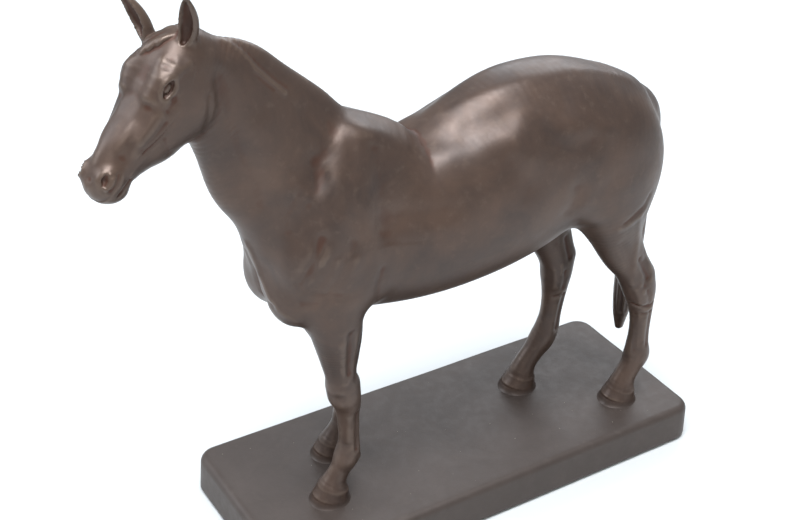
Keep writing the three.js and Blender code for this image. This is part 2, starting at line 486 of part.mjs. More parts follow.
let neck = levelSolid(body, [-176, -30, 140], [-40, 26, 258], 4.8).intersect(neckSide(1));
neck = biggest(neck).subtract(cavityOpen.intersect(boxSolid(-140, 0, -40, 40, 100, 214))).subtract(sleeveSeat);
for (const e of EARS) {
  const t = smooth(e.rows, 2), S = V(e.side), rings = [];
  t.forEach((r, i) => {
    const T = V(t[Math.min(i + 1, t.length - 1)]).sub(V(t[Math.max(i - 1, 0)])).normalize(), s = S.clone().addScaledVector(T, -S.dot(T)).normalize(), u = T.clone().cross(s);
    rings.push(Array.from({ length: 10 }, (_, j) => { const a = j / 10 * 2 * Math.PI; const p = V(r).addScaledVector(s, Math.max(r[3], 0.8) * Math.cos(a)).addScaledVector(u, Math.max(r[4], 0.7) * Math.sin(a)); return p.toArray(); }));
  });
  neck = neck.add(orient(loft(rings)) ?? orient(loft(rings.reverse())));
}
neckPinHoles.forEach((h, i) => { if (i < 2) neck = neck.subtract(h); else torso = torso.subtract(h); sleeve = sleeve.subtract(h); });

// legs with a spigot that goes up into the torso, a cross pin, and a blind hole for the foot stud
const legBoxes = {
  near_fore: [[-96, -30, 8], [-44, -1.6, 112]], off_fore: [[-88, -1.4, 8], [-36, 26, 112]],
  near_hind: [[44, -34, 8], [108, -9, 112]], off_hind: [[24, -1, 8], [86, 26, 112]],
};
const legFields = { near_fore: field([NEAR_FORE]), off_fore: field([OFF_FORE]), near_hind: field([NEAR_HIND]), off_hind: field([OFF_HIND]) };
const legs = {}, studs = {}, legPins = {};
for (const name of Object.keys(FEET)) {
  const [lo, hi] = legBoxes[name], [sx, sy] = SPIGOTS[name], [fx, fy] = FEET[name];
  let leg = levelSolid(legFields[name], lo, hi, 3.9).intersect(boxSolid(-130, 130, -60, 60, PLINTH_HEIGHT + 0.1, LEG_CUT_Z - GAP / 2));
  leg = biggest(leg).add(rod(sx, sy, LEG_CUT_Z - 4, SPIGOT_TOP, SPIGOT_R, 18)).subtract(rod(fx, fy, 10, STUD_TOP + GAP, STUD_R + GAP, 16));
  torso = torso.subtract(rod(sx, sy, LEG_CUT_Z - 4, SPIGOT_TOP + GAP, SPIGOT_R + GAP, 18));
  const reach = 7.0, z = 103.6;
  const hole = rodBetween([sx, sy - 16, z], [sx, sy + 16, z], PIN_R + GAP, 12);
  legPins[name] = rodBetween([sx, sy - reach, z], [sx, sy + reach, z], PIN_R, 12);
  leg = leg.subtract(hole); torso = torso.subtract(rodBetween([sx, sy + (sy < 0 ? -16 : -7.3), z], [sx, sy + (sy < 0 ? 7.3 : 16), z], PIN_R + GAP, 12));
  studs[name] = rod(fx, fy, STUD_BOTTOM, STUD_TOP, STUD_R, 16);
  legs[name] = leg;
}

// tail, seated against the rump and held by one dowel
let tail = levelSolid(tailField, [66, -14, 34], [106, 10, 182], 3.6).subtract(levelSolid(body, [56, -24, 80], [104, 20, 196], 5.0, 2 * GAP));
tail = biggest(tail);
const tailPin = rodBetween([78, -1.5, 152.5], [89.6, -1.5, 152.5], 1.2, 12), tailHole = rodBetween([77.7, -1.5, 152.5], [89.9, -1.5, 152.5], 1.5, 12);
tail = tail.subtract(tailHole); torso = torso.subtract(tailHole);

// core plugs closing the two holes left in the belly wall
const plugs = [-22, 14].map((x) => {
  let z = 96; while (body(x, -1.5, z) > 0) z += 0.05;
  torso = torso.subtract(rod(x, -1.5, z - 3, z + 9, 3.3, 20));
  return rod(x, -1.5, z + 0.35, z + WALL - 0.2, 3.0, 20);
});

// ---------------------------------------------------------------- plinth and its fittings
const bottomZ = FELT_T + GAP, e = PLINTH_EDGE_R;
let plinth = solid(loft([
  outline(PLINTH_DRAFT, bottomZ), outline(PLINTH_DRAFT * 0.5, PLINTH_HEIGHT * 0.5), outline(0, PLINTH_HEIGHT - e),
  outline(-e * 0.13, PLINTH_HEIGHT - e * 0.5), outline(-e * 0.5, PLINTH_HEIGHT - e * 0.13), outline(-e, PLINTH_HEIGHT)]));
const plateZ = PLINTH_HEIGHT - PLATE_T;
plinth = plinth.subtract(solid(loft([outline(PLINTH_DRAFT - RIM_T, bottomZ - 1, 3), outline(-RIM_T, plateZ, 3)])));
const bosses = [[-92, -27], [92, -27], [-92, 27], [92, 27]];
const boardTop = bottomZ + 0.2 + BOARD_T;
for (const [x, y] of bosses) plinth = plinth.add(rod(x, y, boardTop + GAP, plateZ + 1, 4.5, 20)).subtract(rod(x, y, boardTop - 1, plateZ - 1, 1.3, 12));
for (const [x, y] of Object.values(FEET)) plinth = plinth.subtract(rod(x, y, plateZ - 1, PLINTH_HEIGHT + 1, STUD_R + GAP, 16));

let board = solid(loft([outline(PLINTH_DRAFT - RIM_T - 1.7, bottomZ + 0.2, 3), outline(PLINTH_DRAFT - RIM_T - 1.7, boardTop, 3)]));
const screws = bosses.map(([x, y]) => {
  board = board.subtract(rod(x, y, 0, boardTop + 1, 1.4, 12)).subtract(rod(x, y, 0, bottomZ + 0.2 + 1.6, 3.0, 16));
  const z0 = bottomZ + 0.35, g = new THREE.LatheGeometry([[0, z0], [2.6, z0], [2.6, z0 + 1.0], [1.0, z0 + 1.25], [1.0, 11.4], [0, 12]].map((p) => new THREE.Vector2(p[0], p[1])), 16);
  g.rotateX(Math.PI / 2); g.translate(x, y, 0);
  return g;
});
const felt = solid(loft([outline(PLINTH_DRAFT - 0.8, 0, 4), outline(PLINTH_DRAFT - 0.8, FELT_T, 4)]));

function ringPrism(outer, hole, z0, t, sides) {
  const s = new THREE.Shape();
  for (let i = 0; i < sides; i++) { const a = i / sides * 2 * Math.PI; s[i ? 'lineTo' : 'moveTo'](outer * Math.cos(a), outer * Math.sin(a)); }
  s.closePath();
  const h = new THREE.Path(); h.absarc(0, 0, hole, 0, 2 * Math.PI, true); s.holes.push(h);
  return new THREE.ExtrudeGeometry(s, { depth: t, bevelEnabled: false, curveSegments: 8 }).translate(0, 0, z0);
}

// ---------------------------------------------------------------- scene
const root = new THREE.Group();
const bronze = { color: 0x5b4a41, metalness: 0.35, roughness: 0.46 };
const steel = { color: 0x9a9a98, metalness: 0.95, roughness: 0.38 };
// joins the ends of the hair-thin edges that a cut leaves behind and drops the slivers between them,
// with the widest reach that still leaves every edge shared by exactly two faces
function tidy(P, tri) {
  for (const reach of [0.015, 0.01, 0.007, 0.004, 0.002, 0.001, 0.0005, 0]) {
    const up = Array.from({ length: P.length / 3 }, (_, i) => i), find = (i) => { while (up[i] !== i) i = up[i] = up[up[i]]; return i; };
    for (let t = 0; t < tri.length; t += 3) for (let k = 0; k < 3; k++) {
      const a = tri[t + k], b = tri[t + (k + 1) % 3], d = Math.hypot(P[3 * a] - P[3 * b], P[3 * a + 1] - P[3 * b + 1], P[3 * a + 2] - P[3 * b + 2]);
      if (d < reach) up[find(a)] = find(b);
    }
    const faces = new Map();
    for (let t = 0; t < tri.length; t += 3) {
      const f = [find(tri[t]), find(tri[t + 1]), find(tri[t + 2])];
      if (f[0] === f[1] || f[1] === f[2] || f[2] === f[0]) continue;
      const key = [...f].sort((x, y) => x - y).join();
      if (faces.has(key)) faces.delete(key); else faces.set(key, f);     // two faces folded onto each other
    }
    const out = [...faces.values()].flat(), edges = new Set();
    let ok = true;
    for (let t = 0; t < out.length && ok; t += 3) for (let k = 0; k < 3; k++) {
      const e = out[t + k] * 1e6 + out[t + (k + 1) % 3];
      if (edges.has(e)) ok = false; else edges.add(e);
    }
    if (ok) for (const e of edges) if (!edges.has((e % 1e6) * 1e6 + Math.floor(e / 1e6))) { ok = false; break; }
    if (!ok && reach > 0) continue;
    const g = new THREE.BufferGeometry();
    g.setAttribute('position', new THREE.BufferAttribute(P, 3)); g.setIndex(out);
    return g;
  }
}
function put(name, geometry, look, position) {
  let g = geometry;
  if (!(g instanceof THREE.BufferGeometry)) {
    const m = geometry.getMesh(), k = m.numProp, n = m.vertProperties.length / k, P = new Float32Array(n * 3);
    for (let i = 0; i < n; i++) for (let c = 0; c < 3; c++) P[i * 3 + c] = m.vertProperties[i * k + c];
    g = tidy(P, m.triVerts);
  }
  const mesh = new THREE.Mesh(g, new THREE.MeshStandardMaterial(look));
  mesh.name = name; if (position) mesh.position.set(...position);
  root.add(mesh);
}
put('torso_casting', torso, bronze);
put('neck_head_casting', neck, bronze);
put('tail_casting', tail, bronze);
for (const [name, m] of Object.entries(legs)) put(`${name}_leg_casting`, m, bronze);
put('plinth_casting', plinth, { ...bronze, color: 0x57494a });
put('neck_sleeve', sleeve, bronze);
neckPins.forEach((m, i) => put(`neck_pin_${i + 1}`, m, bronze));
for (const [name, m] of Object.entries(legPins)) put(`${name}_pin`, m, bronze);
put('tail_pin', tailPin, bronze);
plugs.forEach((m, i) => put(`core_plug_${i + 1}`, m, bronze));
for (const [name, m] of Object.entries(studs)) put(`${name}_stud`, m, steel);
for (const [name, [x, y]] of Object.entries(FEET)) {
  put(`${name}_washer`, ringPrism(4.4, STUD_R + GAP, 0, 1.0, 16), steel, [x, y, plateZ - GAP - 1.0]);
  put(`${name}_nut`, ringPrism(4.1, STUD_R + GAP, 0, 3.0, 6), steel, [x, y, plateZ - 2 * GAP - 4.0]);
}
put('base_board', board, { color: 0x6f5138, metalness: 0, roughness: 0.7 });
screws.forEach((g, i) => put(`board_screw_${i + 1}`, g, steel));
put('felt_pad', felt, { color: 0x24392c, metalness: 0, roughness: 1 });

export default root;
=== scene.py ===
# Looks of the standing horse statuette: a bronze skin for every casting, a soft-edged plinth,
# patina, felt, wood and steel, a pale floor and soft light. Shapes are worked out in millimetres.
import bpy
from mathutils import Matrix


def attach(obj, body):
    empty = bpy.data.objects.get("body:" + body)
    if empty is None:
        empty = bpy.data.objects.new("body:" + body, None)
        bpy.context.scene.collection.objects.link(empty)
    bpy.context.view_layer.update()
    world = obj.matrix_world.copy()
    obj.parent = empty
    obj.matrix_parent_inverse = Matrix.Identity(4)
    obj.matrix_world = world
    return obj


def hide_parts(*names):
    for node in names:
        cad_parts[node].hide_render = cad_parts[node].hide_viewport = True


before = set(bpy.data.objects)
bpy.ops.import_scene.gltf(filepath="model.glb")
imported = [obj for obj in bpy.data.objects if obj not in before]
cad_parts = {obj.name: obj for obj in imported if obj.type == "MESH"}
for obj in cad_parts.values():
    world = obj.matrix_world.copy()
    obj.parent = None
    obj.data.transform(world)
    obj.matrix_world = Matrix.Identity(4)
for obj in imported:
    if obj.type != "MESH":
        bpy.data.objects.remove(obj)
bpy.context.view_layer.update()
import bpy, math
import numpy as np
from mathutils import Matrix, Vector

# ------------------------------------------------------------------ soft-blended surface kit

def catmull(P, sub):
    """P: list of station rows; returns rows subdivided with a centripetal-ish cubic (Hermite tangents scaled by chord
    lengths).
    """
    P=np.asarray(P,float); n=len(P)
    if sub<=1 or n<3: return P
    out=[]
    for i in range(n-1):
        p0=P[max(i-1,0)];p1=P[i];p2=P[i+1];p3=P[min(i+2,n-1)]
        d01=max(np.linalg.norm(p1[:3]-p0[:3]),1e-6); d12=max(np.linalg.norm(p2[:3]-p1[:3]),1e-6); d23=max(np.linalg.norm(p3[:3]-p2[:3]),1e-6)
        m1=(p2-p1) if i==0 else ((p1-p0)/d01*d12+(p2-p1))/2*1.0
        m2=(p2-p1) if i==n-2 else ((p2-p1)+(p3-p2)/d23*d12)/2*1.0
        for j in range(sub):
            t=j/sub; t2=t*t; t3=t2*t
            out.append((2*t3-3*t2+1)*p1+(t3-2*t2+t)*m1+(-2*t3+3*t2)*p2+(t3-t2)*m2)
    out.append(P[-1])
    return np.array(out)

def unit(v): return v/np.maximum(np.linalg.norm(v,axis=-1,keepdims=True),1e-12)

class Tube:
    """stations: [x,y,z, a, bu, bd, nu, nd]; side: lateral reference; v=T x side is the 'up' side with radius bu."""
    def __init__(s,k,side,rows,sub=4,cap=1.0):
        R=catmull(rows,sub); s.k=k; s.cap=cap
        s.C=R[:,:3]; s.a=np.maximum(R[:,3],.2); s.bu=np.maximum(R[:,4],.2); s.bd=np.maximum(R[:,5],.2)
        s.nu=R[:,6] if R.shape[1]>6 else np.full(len(R),2.); s.nd=R[:,7] if R.shape[1]>7 else s.nu
        T=np.zeros_like(s.C); T[1:-1]=s.C[2:]-s.C[:-2]; T[0]=s.C[1]-s.C[0]; T[-1]=s.C[-1]-s.C[-2]
        T=unit(T); side=np.asarray(side,float)
        s.S=unit(side-(T@side)[:,None]*T) if side.ndim==1 else unit(side)
        s.V=unit(np.cross(T,s.S)); s.T=T
        m=np.maximum(np.maximum(s.a,s.bu),s.bd)
        s.lo=(s.C-m[:,None]).min(0); s.hi=(s.C+m[:,None]).max(0)
        s.plain=bool(np.all(np.abs(s.nu-2)<1e-9) and np.all(np.abs(s.nd-2)<1e-9))
        s.m=m
    def near(s,lo,hi,mar):
        return bool(np.all(s.lo-mar<=hi) and np.all(s.hi+mar>=lo))
    def ev(s,P,lo=None,hi=None,mar=20.):
        n=len(s.C)-1
        if lo is not None:
            c=(lo+hi)/2; R=np.sqrt(((hi-lo)**2).sum())/2
            A=s.C[:-1];D=s.C[1:]-A;q=c-A
            t=np.clip((q*D).sum(1)/np.maximum((D*D).sum(1),1e-9),0,1)
            dist=np.sqrt(((q-t[:,None]*D)**2).sum(1))
            ii=np.flatnonzero(dist-np.maximum(s.m[:-1],s.m[1:])*1.06<R+mar)
        else: ii=np.arange(n)
        if len(ii)==0: return np.full(len(P),1e3)
        out=np.empty(len(P)); ch=max(1,200000//len(ii))
        A=s.C[ii];D=s.C[ii+1]-A;L2=(D*D).sum(1);L=np.sqrt(L2);Dh=D/L[:,None]
        AD=(A*D).sum(1); S0=s.S[ii];S1=s.S[ii+1];V0=s.V[ii];V1=s.V[ii+1]
        AS0=(A*S0).sum(1);AS1=(A*S1).sum(1);AV0=(A*V0).sum(1);AV1=(A*V1).sum(1)
        DS0=(D*S0).sum(1);DS1=(D*S1).sum(1);DV0=(D*V0).sum(1);DV1=(D*V1).sum(1)
        a0,a1,u0,u1,d0,d1=s.a[ii],s.a[ii+1],s.bu[ii],s.bu[ii+1],s.bd[ii],s.bd[ii+1]
        nu0,nu1,nd0,nd1=s.nu[ii],s.nu[ii+1],s.nd[ii],s.nd[ii+1]
        for c0 in range(0,len(P),ch):
            p=P[c0:c0+ch]
            q=(p@D.T-AD)/L2
            t=np.clip(q,0,1); t1=1-t
            # lateral and up components of p-(A+tD)
            us=t1*(p@S0.T-AS0-t*DS0)+t*(p@S1.T-AS1-t*DS1)
            vs=t1*(p@V0.T-AV0-t*DV0)+t*(p@V1.T-AV1-t*DV1)
            w=np.abs((q-t)*L)
            u=np.abs(us); up=vs>0; v=np.abs(vs)
            a=t1*a0+t*a1
            b=np.where(up,t1*u0+t*u1,t1*d0+t*d1)
            c=np.minimum(a,b)*s.cap
            if s.plain:
                ua=u/a;vb=v/b;wc=w/c
                k0=np.sqrt(ua*ua+vb*vb+wc*wc)
                k1=np.sqrt((ua/a)**2+(vb/b)**2+(wc/c)**2)
                f=k0*(k0-1)/np.maximum(k1,1e-6)
            else:
                nn=np.where(up,t1*nu0+t*nu1,t1*nd0+t*nd1)
                ua=np.maximum(u/a,1e-9);vb=np.maximum(v/b,1e-9);wc=np.maximum(w/c,1e-9)
                pa=ua**nn;pb=vb**nn;pc=wc**nn
                ss=pa+pb+pc
                k0=ss**(1/nn)
                g=np.sqrt((pa/(ua*a))**2+(pb/(vb*b))**2+(pc/(wc*c))**2)*k0/ss
                f=(k0-1)/np.maximum(g,1e-4)
            out[c0:c0+ch]=f.min(1)
        return out

class Ell:
    """ellipsoid: centre, radii, rotation degrees (ry about y, then rz about z, then rx about x)"""
    def __init__(s,k,c,r,rot=(0,0,0)):
        s.k=k; s.c=np.asarray(c,float); s.r=np.asarray(r,float)
        ry,rz,rx=np.radians(rot)
        Ry=np.array([[np.cos(ry),0,np.sin(ry)],[0,1,0],[-np.sin(ry),0,np.cos(ry)]])
        Rz=np.array([[np.cos(rz),-np.sin(rz),0],[np.sin(rz),np.cos(rz),0],[0,0,1]])
        Rx=np.array([[1,0,0],[0,np.cos(rx),-np.sin(rx)],[0,np.sin(rx),np.cos(rx)]])
        s.M=Rx@Rz@Ry
        e=np.sqrt(((s.M*s.r)**2).sum(1)); s.lo=s.c-e; s.hi=s.c+e
    def near(s,lo,hi,mar): return bool(np.all(s.lo-mar<=hi) and np.all(s.hi+mar>=lo))
    def ev(s,P,*_):
        q=(P-s.c)@s.M
        k0=np.sqrt(((q/s.r)**2).sum(1)); k1=np.sqrt(((q/s.r**2)**2).sum(1))
        return k0*(k0-1)/np.maximum(k1,1e-6)

class Stroke:
    """soft raised (A>0) or cut (A<0) line along a polyline with width sigma; Gaussian in distance."""
    def __init__(s,A,sig,pts,k=None):
        s.p=np.asarray(pts,float); s.A=A; s.sig=sig
        m=3*sig; s.lo=s.p.min(0)-m; s.hi=s.p.max(0)+m
    def near(s,lo,hi,mar=0): return bool(np.all(s.lo<=hi) and np.all(s.hi>=lo))
    def ev(s,P):
        d2=np.full(len(P),1e9)
        if len(s.p)==1: d2=((P-s.p[0])**2).sum(1)
        for i in range(len(s.p)-1):
            A=s.p[i];D=s.p[i+1]-A;Q=P-A
            t=np.clip((Q@D)/max(D@D,1e-9),0,1)
            d=Q-t[:,None]*D
            d2=np.minimum(d2,(d*d).sum(1))
        return s.A*np.exp(-d2/(s.sig**2))

def subdivide(V,Q):
    """one 1-to-4 split of every quad"""
    n=len(V)
    E=np.stack([Q,np.roll(Q,-1,axis=1)],-1).reshape(-1,2); E=np.sort(E,1)
    key=E[:,0].astype(np.int64)*n+E[:,1]
    u,idx,inv=np.unique(key,return_index=True,return_inverse=True)
    mid=(V[E[idx,0]]+V[E[idx,1]])/2
    ctr=V[Q].mean(1)
    V2=np.concatenate([V,mid,ctr])
    e=n+inv.reshape(-1,4); c=(n+len(u)+np.arange(len(Q)))[:,None]
    Q2=np.concatenate([np.stack([Q[:,k],e[:,k],c[:,0],e[:,(k+3)%4]],1) for k in range(4)])
    return V2,Q2
def relax(V,Q,k=.5):
    """slide vertices toward the mean of their neighbours (made tangential by the next projection)"""
    S=np.zeros_like(V);c=np.zeros(len(V))
    for a in range(4):
        i,j=Q[:,a],Q[:,(a+1)%4]
        for d in range(3):
            S[:,d]+=np.bincount(i,V[j,d],len(V))+np.bincount(j,V[i,d],len(V))
        c+=np.bincount(i,minlength=len(V))+np.bincount(j,minlength=len(V))
    return V+(S/np.maximum(c,1)[:,None]-V)*k
def smin(a,b,k):
    if k<=0: return np.minimum(a,b)
    h=np.maximum(k-np.abs(a-b),0)/k
    return np.minimum(a,b)-h*h*k*0.25

class Field:
    def __init__(s): s.ops=[]; s.strokes=[]
    def add(s,prim,mode='u'): s.ops.append((mode,prim)); return prim
    def stroke(s,st): s.strokes.append(st); return st
    def ev(s,P,cull=True,strokes=True,mar=13.):
        P=np.asarray(P,float)
        lo=P.min(0);hi=P.max(0)
        d=np.full(len(P),60.)
        for mode,pr in s.ops:
            mm=max(pr.k,2.5)+1.0
            if cull and not pr.near(lo,hi,mm): continue
            f=pr.ev(P,lo,hi,mm) if cull else pr.ev(P,None,None,mar)
            if mode=='u': d=smin(d,f,pr.k)
            else: d=-smin(-d,f,pr.k)      # cut
        if strokes:
            for st in s.strokes:
                if st.near(lo,hi): d=d-st.ev(P)
        return d
    def grad(s,P,h=0.05,**kw):
        E=np.array(((1,-1,-1),(-1,-1,1),(-1,1,-1),(1,1,1)),float); n=len(P)
        f=s.evb((P[None]+E[:,None]*h).reshape(-1,3),**kw).reshape(4,n)
        return (f.T@E)/(4*h)
    def evb(s,P,cell=7.,**kw):
        """evaluate many scattered points, grouped into cells so that far primitives are skipped"""
        P=np.asarray(P,float); out=np.zeros(len(P))
        key=np.floor(P/cell).astype(int); key-=key.min(0)
        n=key.max(0)+1; k=(key[:,0]*n[1]+key[:,1])*n[2]+key[:,2]
        o=np.argsort(k,kind='stable'); ks=k[o]; st=np.flatnonzero(np.r_[True,ks[1:]!=ks[:-1]]); en=np.r_[st[1:],len(ks)]
        for a,b in zip(st,en):
            idx=o[a:b]; out[idx]=s.ev(P[idx],**kw)
        return out

def fill(F,lo,n,h,m,sup=5):
    G=np.full(n,50.,np.float32)
    cn=[-(-n[a]//m)+1 for a in range(3)]
    gx,gy,gz=np.meshgrid(*[np.arange(c)*m for c in cn],indexing='ij')
    cf=F.evb(np.stack([gx,gy,gz],-1).reshape(-1,3)*h+lo,cell=24.).reshape(gx.shape)
    a=np.abs(cf); nb=tuple(np.array(cf.shape)-1); mn=np.full(nb,1e9)
    for i in (0,1):
        for j in (0,1):
            for k in (0,1): mn=np.minimum(mn,a[i:i+nb[0],j:j+nb[1],k:k+nb[2]])
    act=mn<m*h*1.5
    for (i,j,k) in np.argwhere((cf[:nb[0],:nb[1],:nb[2]]<0)&~act): G[i*m:(i+1)*m,j*m:(j+1)*m,k*m:(k+1)*m]=-50.
    B=np.argwhere(act)
    if len(B)==0: return G
    off=np.stack(np.meshgrid(np.arange(m),np.arange(m),np.arange(m),indexing='ij'),-1).reshape(-1,3)
    key=B//sup; kk=(key[:,0]*10007+key[:,1])*10007+key[:,2]
    o=np.argsort(kk,kind='stable'); ks=kk[o]; st=np.flatnonzero(np.r_[True,ks[1:]!=ks[:-1]]); en=np.r_[st[1:],len(ks)]
    for s0,e0 in zip(st,en):
        idx=(B[o[s0:e0]][:,None,:]*m+off[None]).reshape(-1,3)
        idx=idx[np.all(idx<n,axis=1)]
        if len(idx): G[idx[:,0],idx[:,1],idx[:,2]]=F.ev(idx*h+lo)
    return G
def nets_of(G,lo,h,F=None,newton=2):
    n=np.array(G.shape); inside=G<0
    # cells with mixed corners
    c=np.zeros(n-1,np.uint8)
    for i in (0,1):
        for j in (0,1):
            for k in (0,1):
                c+=inside[i:i+n[0]-1,j:j+n[1]-1,k:k+n[2]-1]
    cell=np.argwhere((c>0)&(c<8)).astype(np.int64)
    vid=np.full(n-1,-1,np.int64); vid[cell[:,0],cell[:,1],cell[:,2]]=np.arange(len(cell))
    acc=np.zeros((len(cell),3)); cnt=np.zeros(len(cell))
    corners=[(i,j,k) for i in (0,1) for j in (0,1) for k in (0,1)]
    for a in range(8):
        for b in range(a+1,8):
            A=corners[a];Bc=corners[b]
            if sum(x!=y for x,y in zip(A,Bc))!=1: continue
            va=G[cell[:,0]+A[0],cell[:,1]+A[1],cell[:,2]+A[2]].astype(float); vb=G[cell[:,0]+Bc[0],cell[:,1]+Bc[1],cell[:,2]+Bc[2]].astype(float)
            x=(va<0)!=(vb<0)
            t=np.where(x,va/np.where(np.abs(va-vb)<1e-12,1e-12,va-vb),0)
            p=np.array(A)+t[:,None]*(np.array(Bc)-np.array(A))
            acc[x]+=p[x]; cnt[x]+=1
    V=(cell+acc/cnt[:,None])*h+lo
    quads=[]
    for ax in range(3):
        a,b=(ax+1)%3,(ax+2)%3
        sl0=[slice(None)]*3; sl1=[slice(None)]*3
        sl0[ax]=slice(0,n[ax]-1); sl1[ax]=slice(1,n[ax])
        e0=inside[tuple(sl0)]; e1=inside[tuple(sl1)]
        E=np.argwhere(e0!=e1); E=E[(E[:,a]>0)&(E[:,b]>0)&(E[:,a]<n[a]-1)&(E[:,b]<n[b]-1)]
        f=e0[E[:,0],E[:,1],E[:,2]]
        def g(da,db):
            q=E.copy(); q[:,a]-=da; q[:,b]-=db
            return vid[q[:,0],q[:,1],q[:,2]]
        q=np.stack([g(1,1),g(0,1),g(0,0),g(1,0)],1)
        q[~f]=q[~f][:,::-1]
        quads.append(q)
    Q=np.concatenate(quads); Q=Q[(Q>=0).all(1)]
    if F is not None:
        for _ in range(newton):
            f=F.evb(V); gr=F.grad(V)
            g2=(gr**2).sum(1)
            st=-(f/np.maximum(g2,0.05))[:,None]*gr
            l=np.linalg.norm(st,axis=1,keepdims=True); st*=np.minimum(1,0.6*h/np.maximum(l,1e-9))
            V=V+st
    return V,Q

